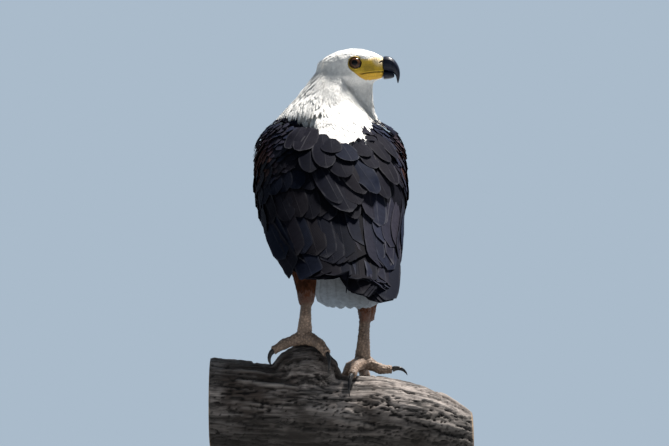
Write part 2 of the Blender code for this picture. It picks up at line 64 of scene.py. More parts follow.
# along, angle of the wing's lower edge
WING_LOW = [(-0.055, 96), (-0.035, 104), (0.000, 110), (0.050, 112), (0.110, 108), (0.160, 102),
            (0.202, 96), (0.243, 92), (0.290, 88), (0.330, 84), (0.360, 80)]
# along, angle where the wings meet on the back
WING_MEETING = [(-0.055, 6), (0.030, 15), (0.200, 19), (0.300, 26), (0.360, 31)]
# angle, along: where the white cape gives way to dark feathers
CAPE_EDGE = [(-112, -0.050), (-80, -0.042), (-65, -0.026), (-43, -0.004), (-38, 0.008), (-22, 0.048),
             (-16, 0.084), (-8, 0.098), (5, 0.105), (18, 0.104), (26, 0.096), (30, 0.078), (33, 0.050),
             (38, 0.028), (53, -0.003), (80, -0.030), (112, -0.050)]
# share of the way down the wing, its rear end along
WING_REAR = [(0.00, 0.350), (0.25, 0.352), (0.50, 0.350), (0.75, 0.342), (0.90, 0.325), (1.00, 0.290)]
# along, right, towards the back, half width
PRIMARIES = {
    "right": [(0.250, 0.056, 0.014, 0.018), (0.300, 0.050, 0.012, 0.025), (0.345, 0.040, 0.009, 0.029),
              (0.371, 0.034, 0.007, 0.025), (0.383, 0.032, 0.006, 0.015)],
    "left": [(0.250, -0.030, 0.028, 0.020), (0.300, -0.006, 0.025, 0.024), (0.345, 0.011, 0.021, 0.025),
             (0.371, 0.018, 0.018, 0.020), (0.383, 0.020, 0.016, 0.011)],
}
TAIL_KEYS = [(0.195, 0.000, 0.006, 0.026), (0.240, 0.001, 0.000, 0.032), (0.300, 0.000, -0.007, 0.038),
             (0.343, -0.003, -0.011, 0.042), (0.380, -0.005, -0.012, 0.030)]
HOCK = {"left": (-0.041, -0.042, 0.128), "right": (0.046, -0.024, 0.106)}
KNEE = {"left": (-0.046, 0.024, 0.236), "right": (0.044, 0.040, 0.232)}
ANKLE = {"left": (-0.045, -0.010, 0.066), "right": (0.042, 0.008, 0.032)}
SIDES = {"left": -1, "right": 1}

# heights over CREST: the head's lower limit, the legs' upper one, and the scaly feet's
HEAD_FROM, LEGS_TO, FEET_TO = 0.44, 0.175, 0.125
# x and height over CREST of the two ends of the hood's edge, which the throat lies behind
HOOD_EDGE, THROAT_FLOOR, HOOD_SWELLING = ((0.014, 0.447), (0.064, 0.3855)), 0.060, 0.0045

UP = Vector((0, 0, 1))
FORWARD = Vector((-math.sin(YAW), math.cos(YAW), 0))
RIGHT = Vector((math.cos(YAW), math.sin(YAW), 0))
TAILWARD = -FORWARD * math.cos(PITCH) - UP * math.sin(PITCH)
DORSAL = -FORWARD * math.sin(PITCH) + UP * math.cos(PITCH)
BILLWARD = Vector((math.cos(HEAD_TURN), math.sin(HEAD_TURN), 0))
HEAD_LEFT = UP.cross(BILLWARD)
EYES = Vector(EYE_AT) + UP * CREST
START = FORWARD * SHOULDER[0] + UP * (CREST + SHOULDER[1])
UP, RIGHT, TAILWARD, DORSAL, BILLWARD, HEAD_LEFT, EYES, START = (
    np.array(place) for place in (UP, RIGHT, TAILWARD, DORSAL, BILLWARD, HEAD_LEFT, EYES, START))

# ---- colours ----
# the tail's white is tinted blue as painted shade: the blue of the sky-lit shade under the wings
WHITE, TAIL_WHITE_BLUE_SHADE = np.array(((0.82, 0.81, 0.785), (0.86, 0.90, 0.94)))
# the bluish dark tint is painted sheen, the sky's blue reflected off the feathers
DARK, DARK_BROWN, DARK_BLUE_SHEEN = np.array(((0.006, 0.006, 0.009), (0.0088, 0.0082, 0.0115),
                                        (0.0052, 0.0070, 0.0140)))
CHESTNUT = np.array((0.066, 0.025, 0.013))
BARE_YELLOW, CERE_CREAM, JAW_ORANGE = np.array(((0.66, 0.43, 0.035), (0.78, 0.62, 0.36), (0.68, 0.36, 0.020)))
FACE_SHADOW = np.array((0.030, 0.016, 0.012))
LEG_TAN, LEG_DARK = np.array(((0.36, 0.255, 0.19), (0.075, 0.045, 0.030)))


# ---- small helpers ----
def smooth(low, high, x):
    """An even rise from 0 at low to 1 at high."""
    t = np.clip((x - low) / (high - low), 0.0, 1.0)
    return t * t * (3 - 2 * t)


def bump(x, width):
    """1 at 0, falling off to both sides."""
    return np.exp(-((x / width) ** 2))


def mixed(first, second, share):
    """The first where the share is 0, the second where it is 1."""
    return first * (1 - share) + second * share


def between(keys, x, column=1):
    """The value of this column of keys at x, on straight lines."""
    keys = np.array(keys, float)
    return np.interp(x, keys[:, 0], keys[:, column])


def unit(v):
    return v / np.maximum(np.linalg.norm(v, axis=-1, keepdims=True), 1e-9)


def varied(count, spread):
    return 1 + spread * RANDOM.uniform(-1, 1, count)


def at_places(value, points, share):
    """The value at each point: a number, a pair for where the share is 0 and 1, or a function of points."""
    if callable(value):
        return value(points)
    if np.isscalar(value):
        return np.full(len(points), value)
    return value[0] + (value[1] - value[0]) * share(points)


def over(points):
    """Height over the log's top."""
    return points[:, 2] - CREST


def over_crest(place):
    return np.array((place[0], place[1], CREST + place[2]))


def body_point(along, right, dorsal):
    """Points by their distance behind the shoulder, and their offsets to the right and the back."""
    along, right, dorsal = (np.asarray(v, float)[..., None] for v in (along, right, dorsal))
    swung = right + SWING * np.maximum(0.0, along - SWING_FROM)
    return START + TAILWARD * along + RIGHT * swung + DORSAL * dorsal


def body_places(points):
    """Along the body, angle, and distance from the body's axis."""
    away = points - START
    along = away @ TAILWARD
    right = away @ RIGHT - SWING * np.maximum(0.0, along - SWING_FROM)
    dorsal = away @ DORSAL
    return along, np.degrees(np.arctan2(right, dorsal)), np.hypot(right, dorsal)


def along_body(points):
    return body_places(points)[0]


def head_places(points):
    """Forward, left and up from the point midway between the eyes."""
    away = points - EYES
    return away @ BILLWARD, away @ HEAD_LEFT, away @ UP


def ahead_of_eyes(points):
    return head_places(points)[0]


def fractal(points, scale, octaves=3):
    """Smooth noise at each point, with the coordinates scaled first."""
    out = np.empty(len(points))
    for i, p in enumerate(points * np.array(scale)):
        out[i] = noise.fractal(Vector(p), 1.0, 2.0, octaves)
    return out


# ---- meshes ----
def flat(values):
    return values.astype(np.float32).ravel()


def read(mesh, what):
    values = np.zeros(len(mesh.vertices) * 3, np.float32)
    mesh.vertices.foreach_get(what, values)
    return values.reshape(-1, 3).astype(float)


def coordinates(mesh):
    return read(mesh, "co")


def normals_of(mesh):
    return read(mesh, "normal")


def move_to(mesh, places):
    mesh.vertices.foreach_set("co", flat(places))
    mesh.update()


def paint(mesh, name, values):
    """Keeps four values for each vertex as a colour attribute."""
    mesh.color_attributes.new(name, "FLOAT_COLOR", "POINT").data.foreach_set("color", flat(values))


def linked(name, mesh):
    obj = bpy.data.objects.new(name, mesh)
    bpy.context.scene.collection.objects.link(obj)
    return obj


def complete(obj, material, slot, *nodes):
    """Makes the object a smooth piece of the bird or its log, in the place of these nodes of the frame."""
    obj.data.polygons.foreach_set("use_smooth", np.ones(len(obj.data.polygons), bool))
    obj.data.materials.clear()
    obj.data.materials.append(material)
    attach(obj, "root")
    if nodes:
        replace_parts(obj, *nodes)
    return obj


def settle(obj):
    """Makes the object's mesh what its modifiers show."""
    shown = obj.evaluated_get(bpy.context.evaluated_depsgraph_get())
    mesh = bpy.data.meshes.new_from_object(shown)
    obj.modifiers.clear()
    old, obj.data = obj.data, mesh
    bpy.data.meshes.remove(old)
    return obj


def largest_piece(obj):
    """Drops every loose piece of the mesh but the largest."""
    bm = bmesh.new()
    bm.from_mesh(obj.data)
    left, best = set(bm.verts), []
    while left:
        seed = left.pop()
        piece, front = [seed], [seed]
        while front:
            vert = front.pop()
            for edge in vert.link_edges:
                other = edge.other_vert(vert)
                if other in left:
                    left.remove(other)
                    piece.append(other)
                    front.append(other)
        if len(piece) > len(best):
            best = piece
    kept = set(best)
    bmesh.ops.delete(bm, geom=[v for v in bm.verts if v not in kept], context="VERTS")
    bm.to_mesh(obj.data)
    bm.free()
    return obj


def fused(name, nodes, swell, voxel, rounds):
    """One closed form from these nodes of the frame, each swollen first, then smoothed this many rounds."""
    bm = bmesh.new()
    for node in nodes:
        bm.from_mesh(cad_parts[node].data)
    bmesh.ops.remove_doubles(bm, verts=bm.verts, dist=1e-5)
    bmesh.ops.recalc_face_normals(bm, faces=bm.faces)
    bm.normal_update()
    for vert in bm.verts:
        vert.co += vert.normal * swell
    mesh = bpy.data.meshes.new(name)
    bm.to_mesh(mesh)
    bm.free()
    obj = linked(name, mesh)
    remesh = obj.modifiers.new("remesh", "REMESH")
    remesh.mode, remesh.voxel_size = "VOXEL", voxel
    if rounds:
        even = obj.modifiers.new("even", "SMOOTH")
        even.factor, even.iterations = 0.5, rounds
    return largest_piece(settle(obj))


def laid_back(points, swelling=0.0):
    """The points with the near side of the throat laid back behind the hood's edge, and the hood swollen."""
    (x, height), (end_x, end_height) = HOOD_EDGE
    run, fall = end_x - x, end_height - height
    level = over(points)
    beyond = ((height - level) * -run + (x - points[:, 0]) * fall) / math.hypot(run, fall)
    depth = np.maximum(0.0, THROAT_FLOOR - points[:, 1])
    hollow = 0.9 * depth * smooth(0.000, 0.010, beyond) * smooth(0.462, 0.446, level)
    hood = swelling * bump(beyond + 0.018, 0.018) * smooth(0.462, 0.425, level)
    ridge = hood * smooth(0.365, 0.395, level) * smooth(0.070, 0.045, points[:, 1])
    return points + (hollow - ridge)[:, None] * np.array((0.0, 1.0, 0.0))


class Hull:
    """The bird's outside, as a surface that feathers follow."""

    SWELL, VOXEL, ROUNDS = 0.0028, 0.0026, 4

    def __init__(self, name, nodes):
        obj = fused(name, nodes, self.SWELL, self.VOXEL, self.ROUNDS)
        move_to(obj.data, coordinates(obj.data) - normals_of(obj.data) * self.SWELL)
        obj.data.calc_loop_triangles()
        self.points = laid_back(coordinates(obj.data), HOOD_SWELLING)
        move_to(obj.data, self.points)
        triangles = np.zeros(len(obj.data.loop_triangles) * 3, np.int32)
        obj.data.loop_triangles.foreach_get("vertices", triangles)
        self.triangles = triangles.reshape(-1, 3)
        self.point_normals = normals_of(obj.data)
        self.tree = BVHTree.FromPolygons(self.points.tolist(), self.triangles.tolist())
        bpy.data.objects.remove(obj)

    def settle_on(self, points):
        """The nearest places on the surface, and its smooth normals there."""
        places, normals = np.empty_like(points), np.empty_like(points)
        for i, point in enumerate(points):
            at, _, face, _ = self.tree.find_nearest(point)
            places[i] = at
            corners = self.triangles[face]
            weights = 1 / (np.linalg.norm(self.points[corners] - places[i], axis=1) + 1e-5)
            normals[i] = weights @ self.point_normals[corners]
        return places, unit(normals)

    def at(self, along, angle):
        """Where rays towards the body's axis meet the surface."""
        turn = np.radians(angle)
        axis = body_point(along, np.zeros_like(along), np.zeros_like(along))
        far = body_point(along, 0.3 * np.sin(turn), 0.3 * np.cos(turn))
        out = np.empty_like(axis)
        for i, (inner, outer) in enumerate(zip(axis, far)):
            hit = self.tree.ray_cast(Vector(outer), Vector(inner - outer).normalized())[0]
            out[i] = hit if hit is not None else self.tree.find_nearest(Vector(inner))[0]
        return out

    def walk(self, starts, ways, length, steps):
        """Paths over the surface: their points, normals and ways at each step."""
        points, normals = self.settle_on(starts)
        trail = [(points, normals, ways)]
        for _ in range(steps):
            ways = unit(ways - normals * np.sum(ways * normals, axis=1, keepdims=True))
            points, normals = self.settle_on(points + ways * (length / steps)[:, None])
            trail.append((points, normals, ways))
        return trail

    def scatter(self, spacing, wanted, density):
        """Places spread over the surface, where wanted, at least spacing apart."""
        corners = self.points[self.triangles]
        middles = corners.mean(axis=1)
        edges = corners[:, 1:] - corners[:, :1]
        area = np.linalg.norm(np.cross(edges[:, 0], edges[:, 1]), axis=1) / 2
        gaps = spacing(middles)
        weight = np.where(wanted(middles), area / gaps**2, 0)
        count = int(density * weight.sum())
        chosen = RANDOM.choice(len(middles), count, p=weight / weight.sum())
        mix = RANDOM.dirichlet((1, 1, 1), count)
        points = np.einsum("nij,ni->nj", corners[chosen], mix)
        gaps = gaps[chosen]
        cell = float(gaps.max())
        taken, kept = {}, []
        for i, (point, gap) in enumerate(zip(points, gaps)):
            home = tuple((point // cell).astype(int))
            near = (
                other
                for x in (-1, 0, 1) for y in (-1, 0, 1) for z in (-1, 0, 1)
                for other in taken.get((home[0] + x, home[1] + y, home[2] + z), ())
            )
            px, py, pz = point
            if all((px - q[0]) ** 2 + (py - q[1]) ** 2 + (pz - q[2]) ** 2 > gap * gap for q in near):
                taken.setdefault(home, []).append((px, py, pz))
                kept.append(i)
        return points[kept]


# ---- markings, shared by skin and plumage ----
def wing_share(points):
    """How far each point lies from the wings' meeting line, 0, to its wing's lower edge, 1."""
    along, angle, _ = body_places(points)
    meeting, low = between(WING_MEETING, along), between(WING_LOW, along)
    return np.where(angle > meeting, (angle - meeting) / (low - meeting), (meeting - angle) / (low + meeting))


def bend_of_wing(points):
    """1 where the folded wing's front stands out from the neck, 0 elsewhere."""
    along, angle, _ = body_places(points)
    around = smooth(25, 45, np.abs(angle)) * smooth(95, 75, np.abs(angle))
    return smooth(0.045, 0.0, along) * around * smooth(-0.075, -0.055, along)


def behind_cape(points):
    along, angle, _ = body_places(points)
    return along - between(CAPE_EDGE, angle)


def dark_part(points):
    """1 on the dark back and wings, 0 elsewhere."""
    return smooth(-0.002, 0.002, behind_cape(points)) * smooth(1.04, 1.00, wing_share(points))


def white_part(points):
    """1 on the white head, neck, breast and cape."""
    above = over(points) - COLLAR_AT[1] + COLLAR_SLOPE * (points[:, 1] - COLLAR_AT[0])
    along, angle, _ = body_places(points)
    on_back = (np.abs(angle) < 112) & (along > -0.06) & (wing_share(points) < 1.0)
    return np.where(on_back, 1 - dark_part(points), smooth(-0.003, 0.003, above))


def coat_colour(points):
    """White, dark and chestnut parts, with chestnut in the dark of the wing's bend."""
    white, dark = white_part(points)[:, None], dark_part(points)[:, None]
    along, angle, _ = body_places(points)
    bend = 0.6 * smooth(0.125, 0.07, along) * smooth(50, 68, np.abs(angle))
    return mixed(mixed(CHESTNUT, mixed(DARK, CHESTNUT, bend[:, None]), dark), WHITE, white)


def dark_coat(points):
    """The dark feathers' colour, with chestnut at the wing's bend, and paler at the front of the shoulders as
    painted light.
    """
    along, angle, _ = body_places(points)
    bend = 0.6 * smooth(0.125, 0.07, along) * smooth(0.0, 0.04, along) * smooth(55, 75, np.abs(angle))
    # painted light: the front of the shoulders, where the sun falls on them, is painted paler
    pale = 1 + 1.5 * smooth(0.09, 0.04, along) * smooth(88, 70, np.abs(angle))
    return mixed(hued(len(points)) * pale[:, None], CHESTNUT, bend[:, None])


def hued(count, hue=None):
    """Dark tints from brownish, 0, to bluish, 1. The blue is painted sheen: the sky's blue reflected off the
    dark feathers.
    """
    hue = RANDOM.uniform(0, 1, count) if hue is None else np.broadcast_to(hue, count)
    return DARK_BROWN + (DARK_BLUE_SHEEN - DARK_BROWN) * hue[:, None]


# ---- feathers ----
PATCH = 0.0015  # half the width of a feather's patch on the map for baking


def silhouette(t, base, widest, tip):
    """A feather's share of its half width at t of the way to its tip."""
    widening = base + (1 - base) * np.sin(np.clip(t / widest, 0, 1) * math.pi / 2)
    shape = widening * (1 - np.clip((t - widest) / (1 - widest), 0, 1) ** tip) ** (1 / tip)
    shape[-1] = max(shape[-1], 0.10)
    return shape


def vane_faces(rows, columns):
    """Corners of a vane's quads: its upper side, then its lower side, which share the rim."""
    top = np.arange(rows * columns).reshape(rows, columns)
    under = top.copy()
    under[1:-1, 1:-1] = rows * columns + np.arange((rows - 2) * (columns - 2)).reshape(rows - 2, columns - 2)
    sheets = []
    for grid, order in ((top, (0, 1, 2, 3)), (under, (3, 2, 1, 0))):
        quad = np.stack([grid[:-1, :-1], grid[:-1, 1:], grid[1:, 1:], grid[1:, :-1]], -1).reshape(-1, 4)
        sheets.append(quad[:, order])
    return np.concatenate(sheets)


def mesh_from(name, places, quads):
    mesh = bpy.data.meshes.new(name)
    mesh.vertices.add(len(places))
    mesh.vertices.foreach_set("co", flat(places))
    mesh.loops.add(quads.size)
    mesh.loops.foreach_set("vertex_index", quads.astype(np.int32).ravel())
    mesh.polygons.add(len(quads))
    mesh.polygons.foreach_set("loop_start", np.arange(0, quads.size, 4, dtype=np.int32))
    mesh.update(calc_edges=True)
    return mesh


class Plumes:
    """The feathers of one piece, gathered before its mesh is made. Each is a thin closed vane."""

    def __init__(self, name):
        self.name = name
        self.parts = []

    def add(self, trail, half_width, heights, colours, edge, columns=3, tip=2.2, base=0.35, widest=0.62,
            bow=5.0, thick=0.0003, roll=0.0):
        """Feathers along these trails. heights: of root and tip over the trail. edge: paleness of the rim.
        tip, base and widest give the outline. bow: how fast the vane falls to its sides. roll: how far one
        side lies over the other."""
        points, normals, ways = (np.stack([step[i] for step in trail], axis=1) for i in range(3))
        count, rows = points.shape[:2]
        half_width, edge, roll, root, top = (
            np.broadcast_to(np.asarray(v, float), count) for v in (half_width, edge, roll, *heights))
        u, t = np.linspace(-1, 1, columns), np.linspace(0, 1, rows)
        down = t[:, None]
        side = u * (half_width[:, None] * silhouette(t, base, widest, tip))[:, :, None]
        root, top, roll = (v[:, None, None] for v in (root, top, roll))
        shaft = thick * 1.2 * bump(u, 0.12) * (1 - down)
        height = root + (top - root) * down - bow * side**2 + shaft + roll * u * (0.3 + 0.7 * down)
        across = unit(np.cross(ways, normals))
        normals = normals[:, :, None]
        upper = points[:, :, None] + across[:, :, None] * side[..., None] + normals * height[..., None]
        lower = (upper - normals * thick)[:, 1:-1, 1:-1]
        vane = np.stack(np.meshgrid(u, t), -1)
        self.parts.append(dict(
            places=np.concatenate([upper.reshape(count, -1, 3), lower.reshape(count, -1, 3)], axis=1),
            vane=np.concatenate([vane.reshape(-1, 2), vane[1:-1, 1:-1].reshape(-1, 2)]),
            faces=vane_faces(rows, columns), tints=np.column_stack([colours, edge]), roots=points[:, 0],
        ))

    def build(self, material, body_slot, unwrap=lambda p: np.stack(body_places(p)[:2], 1)):
        """The piece. unwrap: where a root lies on the map for baking, before it is fitted to the map."""
        places, tints, vanes, bakes, faces, offset, begun = [], [], [], [], [], 0, 0
        roots = unwrap(np.concatenate([part["roots"] for part in self.parts]))
        low, high = roots.min(axis=0), roots.max(axis=0)
        spread = 0.02 + 0.96 * (roots - low) / (high - low)
        for part in self.parts:
            count, size = part["places"].shape[:2]
            vane = part["vane"]
            bakes.append(spread[begun:begun + count, None] + (vane * (1.0, 2.0) - (0.0, 1.0)) * PATCH)
            vanes.append(np.tile(vane * (0.5, 1.0) + (0.5, 0.0), (count, 1)))
            tints.append(np.repeat(part["tints"], size, axis=0))
            places.append(part["places"].reshape(-1, 3))
            faces.append(((np.arange(count) * size)[:, None, None] + part["faces"]).reshape(-1, 4) + offset)
            begun += count
            offset += count * size
        faces = np.concatenate(faces)
        mesh = mesh_from(self.name, np.concatenate(places), faces)
        bakes = np.clip(np.concatenate([b.reshape(-1, 2) for b in bakes]), 0.001, 0.999)
        for name, flat_places in (("OFBake", bakes), ("Vane", np.concatenate(vanes))):
            layer = mesh.uv_layers.new(name=name, do_init=False)
            layer.data.foreach_set("uv", flat(flat_places[faces.ravel()]))
        paint(mesh, "Tint", np.concatenate(tints))
        obj = complete(linked(self.name, mesh), material, body_slot)
        mesh.set_sharp_from_angle(angle=math.radians(50))
        return obj


def turned(ways, normals, degrees):
    """These directions turned on the surface, seen from outside, towards the right of the way."""
    angle = np.radians(np.broadcast_to(degrees, len(ways)))[:, None]
    return unit(ways * np.cos(angle) + np.cross(ways, normals) * np.sin(angle))


# ---- small feathers ----
def lie(points):
    """The way the feathers point at each place: back over the head, down the neck, then tailward."""
    on_head = smooth(0.425, 0.460, over(points))[:, None]
    on_body = smooth(0.400, 0.330, over(points))[:, None]
    downward = smooth(0.005, -0.045, ahead_of_eyes(points))[:, None]
    head_way = -BILLWARD - 1.6 * UP * downward
    neck_way = -UP + 0.35 * TAILWARD
    body_way = TAILWARD - 0.15 * UP
    return unit(head_way * on_head + neck_way * (1 - on_head) * (1 - on_body) + body_way * on_body)


def small_feathers(plumes, hull, wanted, spacing, length, half_width, sink, rise, share=None, way=lie, rows=5,
                   stray=9.0, shade=0.08, edge=0.0, tip=2.0, colour=coat_colour, columns=3, density=9.0,
                   ends=None, lift=0.3, roll=0.00012):
    """Covers the wanted part of the hull. sink and rise: depth of the root and height of the tip. ends: which
    tips may stay. lift: how far the tips' heights vary."""
    roots = hull.scatter(lambda p: at_places(spacing, p, share), wanted, density)
    places, normals = hull.settle_on(roots)
    ways = turned(unit(way(places)), normals, RANDOM.normal(0, stray, len(places)))
    run = at_places(length, places, share) * varied(len(places), 0.18)
    trail = hull.walk(places, ways, run, rows - 1)
    if ends is not None:
        kept = ends(trail[-1][0])
        trail = [tuple(part[kept] for part in step) for step in trail]
        places = places[kept]
    count = len(places)
    tints = colour(trail[len(trail) // 2][0]) if callable(colour) else colour
    tints = tints * varied(count, shade)[:, None]
    half_width = at_places(half_width, places, share) * varied(count, 0.15)
    heights = -at_places(sink, places, share), at_places(rise, places, share) * varied(count, lift)
    plumes.add(trail, half_width, heights, tints, edge, columns=columns, tip=tip, bow=9.0,
               roll=RANDOM.normal(0, roll, count))


# ---- the face ----
# forward of the eyes, level: the bare skin's upper and lower limits
FACE_TOP = [(-0.0105, -0.0020), (-0.0088, 0.0056), (-0.0050, 0.0094), (0.0010, 0.0104), (0.0060, 0.0094),
            (0.0120, 0.0068), (0.0220, 0.0060), (0.0330, 0.0085), (0.0440, 0.0130)]
FACE_LOW = [(-0.0105, -0.0020), (-0.0088, -0.0080), (-0.0050, -0.0118), (0.0000, -0.0155), (0.0080, -0.0225),
            (0.0160, -0.0270), (0.0250, -0.0275), (0.0340, -0.0255), (0.0440, -0.0235)]
MOUTH = [(0.008, -0.0178), (0.018, -0.0158), (0.030, -0.0146), (0.045, -0.0140)]
NOSTRIL_AT, NOSTRIL_SIZE, NOSTRIL_SLANT = (0.0395, 0.0008), (0.0024, 0.0014), 0.45
EYE_CLEARANCE = 0.0104


def face_places(points):
    """Forward, level and distance from the eye's middle. A level is a height seen square to the cheek."""
    forward, left, up = head_places(points)
    level = up + 0.15 * np.abs(left)
    return forward, level, np.hypot(forward - EYE_FORWARD, level * 1.06)


def on_face(points):
    """1 on the bare skin round the eyes and from there to the bill."""
    forward, level, _ = face_places(points)
    inside = np.minimum(between(FACE_TOP, forward) - level, level - between(FACE_LOW, forward))
    chin = smooth(0.0025, 0.0045, np.abs(head_places(points)[1]) - 0.4 * (level + 0.022))
    behind = forward - FACE_TOP[0][0]
    return smooth(-0.0007, 0.0004, np.minimum(inside, behind)) * np.where(level < -0.020, chin, 1.0)


def mouth_level(forward):
    return between(MOUTH, forward)


def nostril_reach(points):
    """1 on the rim of the nostril's slit."""
    forward, level, _ = face_places(points)
    forward = forward - NOSTRIL_AT[0]
    slant = level - NOSTRIL_AT[1] - NOSTRIL_SLANT * forward
    return np.hypot(forward / NOSTRIL_SIZE[0], slant / NOSTRIL_SIZE[1])


def face_colour(points):
    """Yellow skin with a cream cere and brow, an orange jaw, dark lores, lids, mouth and nostrils."""
    forward, level, eye = face_places(points)
    cere = smooth(0.026, 0.035, forward + 0.6 * (level + 0.002)) * smooth(-0.009, 0.000, level)
    brow = smooth(0.0015, 0.0065, level) * smooth(0.009, 0.016, forward)
    colour = mixed(BARE_YELLOW, CERE_CREAM, np.maximum(cere, brow)[:, None])
    colour = mixed(colour, JAW_ORANGE, 0.6 * smooth(-0.0145, -0.0175, level)[:, None])
    lore = 0.35 * smooth(0.010, 0.016, forward) * smooth(0.034, 0.026, forward) * smooth(0.002, -0.006, level)
    shaded = (1 - lore * smooth(-0.016, -0.010, level)) * (1 - 0.5 * smooth(0.003, -0.005, forward))
    line = 0.85 * bump(level - mouth_level(forward), 0.0007) * smooth(0.006, 0.012, forward)
    lid, nostril = smooth(0.0094, 0.0086, eye), smooth(1.15, 0.85, nostril_reach(points))
    dark = np.maximum(np.maximum(lid, line), nostril)[:, None]
    return mixed(colour * shaded[:, None], FACE_SHADOW, dark)


def face_relief(points):
    """Height to add to the face's skin: lids, lips, nostrils, folds and the cere's swelling."""
    forward, level, eye = face_places(points)
    height = 0.0010 * bump(eye - 0.0097, 0.0011) - 0.0005 * bump(eye - 0.0120, 0.0009)
    on_mouth = smooth(0.007, 0.013, forward)
    mouth = level - mouth_level(forward)
    height -= 0.0013 * bump(mouth, 0.0007) * on_mouth
    height += 0.0006 * bump(np.abs(mouth) - 0.0020, 0.0012) * on_mouth
    nostril, off_middle = nostril_reach(points), smooth(0.003, 0.006, np.abs(head_places(points)[1]))
    height -= 0.0018 * smooth(1.15, 0.5, nostril) * off_middle
    height += 0.0005 * bump(nostril - 1.6, 0.5) * off_middle
    height += 0.0008 * smooth(0.028, 0.036, forward + 0.5 * level)
    fold = np.sin((forward + 0.6 * level) * 1900 + 2.0 * np.sin(level * 500))
    return height + 0.00018 * fold * on_face(points) * smooth(0.0115, 0.0140, eye)


# ---- regions of small feathers ----
def behind_eye(points):
    return smooth(0.02, -0.05, ahead_of_eyes(points))


def nape(points):
    return smooth(-0.036, -0.050, ahead_of_eyes(points))


def lower_neck(points):
    return smooth(0.44, 0.34, over(points))


def cover_head_and_neck(hull, finish):
    by_height = lambda p: np.stack([np.degrees(np.arctan2(p[:, 1] - 0.055, p[:, 0] - 0.01)), p[:, 2]], 1)
    head = Plumes("coat_head")
    small_feathers(
        head, hull,
        wanted=lambda p: (over(p) > 0.428) & (on_face(p) < 0.5) & (face_places(p)[2] >= EYE_CLEARANCE)
        & (ahead_of_eyes(p) < 0.041),
        share=behind_eye, spacing=(0.0016, 0.0030), length=(0.0060, 0.0160), half_width=(0.0012, 0.0022),
        sink=0.0010, rise=(0.0002, 0.0004), shade=0.02, tip=1.4, stray=5, colour=WHITE, roll=0.00004,
    )
    small_feathers(
        head, hull,
        wanted=lambda p: (over(p) > 0.405) & (over(p) < 0.487) & (ahead_of_eyes(p) < -0.034),
        share=nape, spacing=0.0036, length=0.020, half_width=0.0026, sink=(0.0002, -0.0034),
        rise=(0.0007, 0.0043), shade=0.02, tip=1.3, stray=5, colour=WHITE, roll=0.00006,
    )
    neck = Plumes("coat_neck")
    small_feathers(
        neck, hull,
        wanted=lambda p: (over(p) <= 0.440) & (white_part(p) > 0.5) & (along_body(p) < 0.115),
        share=lower_neck, spacing=(0.0030, 0.0046), length=(0.021, 0.032), half_width=(0.0024, 0.0050),
        sink=lambda p: 0.0012 + 0.0008 * lower_neck(p) - 0.0015 * bend_of_wing(p),
        rise=lambda p: 0.0002 + 0.0003 * lower_neck(p) + 0.0030 * bend_of_wing(p)
        + 0.0016 * smooth(0.045, 0.085, along_body(p)),
        shade=0.02, tip=1.25, stray=5, colour=WHITE, ends=lambda p: white_part(p) > 0.05, rows=6,
        density=12.0, roll=0.00006,
    )
    head.build(finish, "white_plumage", by_height)
    neck.build(finish, "white_plumage", by_height)


def cover_trunk(hull, finish):
    under = Plumes("coat_underparts")
    small_feathers(
        under, hull, spacing=0.0062, length=0.026, half_width=0.0058, sink=0.004, rise=0.0022,
        wanted=lambda p: (white_part(p) < 0.5) & (dark_part(p) < 0.5) & (along_body(p) < 0.235),
        shade=0.35, tip=1.6, edge=0.45,
    )
    under.build(finish, "chestnut_plumage")


def cover_leg(side, hull, finish):
    trousers = Plumes("coat_thigh_" + side)
    knee, hock, ankle = (over_crest(joint[side]) for joint in (KNEE, HOCK, ANKLE))
    up_leg = lambda p: ((p - ankle) @ (hock - ankle)) / ((hock - ankle) @ (hock - ankle))
    round_leg = lambda p: np.stack([np.degrees(np.arctan2(p[:, 1] - hock[1], p[:, 0] - hock[0])), p[:, 2]], 1)
    small_feathers(
        trousers, hull, wanted=lambda p: up_leg(p) > 0.62,
        spacing=lambda p: 0.0030 + 0.0030 * smooth(1.0, 2.0, up_leg(p)),
        share=lambda p: smooth(0.9, 1.8, up_leg(p)), length=(0.010, 0.026), half_width=(0.0022, 0.0050),
        sink=lambda p: 0.0006 + 0.003 * smooth(0.9, 1.5, up_leg(p)),
        rise=lambda p: 0.0002 + 0.0014 * smooth(0.8, 1.3, up_leg(p)),
        way=lambda p: np.broadcast_to(unit(hock - knee) - 0.10 * UP, p.shape),
        shade=0.35, tip=1.5, edge=0.2, colour=CHESTNUT,
        ends=lambda p: (distance_to(p, "wing_" + side) > 0.007) & (up_leg(p) > 0.5),
    )
    trousers.build(finish, "chestnut_plumage", round_leg)


# ---- large feathers ----
# a feather is left out where its ends are nearer than this share of its length, or its run bends more
STRAIGHTEST_KINK, SHARPEST_BEND = 0.86, math.cos(math.radians(24))
ROW_JITTER, ROW_ROLL = 0.006, 0.0009
# share of the way down the wing, how light its feathers are painted: the right wing lighter as painted light,
# the left darker as painted shade, its inner part darkest as painted shadow under the scapulars
WING_PAINTED_LIGHT = {
    "left": [(0.0, 0.70), (0.40, 0.70), (0.60, 0.85), (1.0, 0.90)],
    "right": [(0.0, 1.3), (0.4, 2.3), (1.0, 2.5)],
}
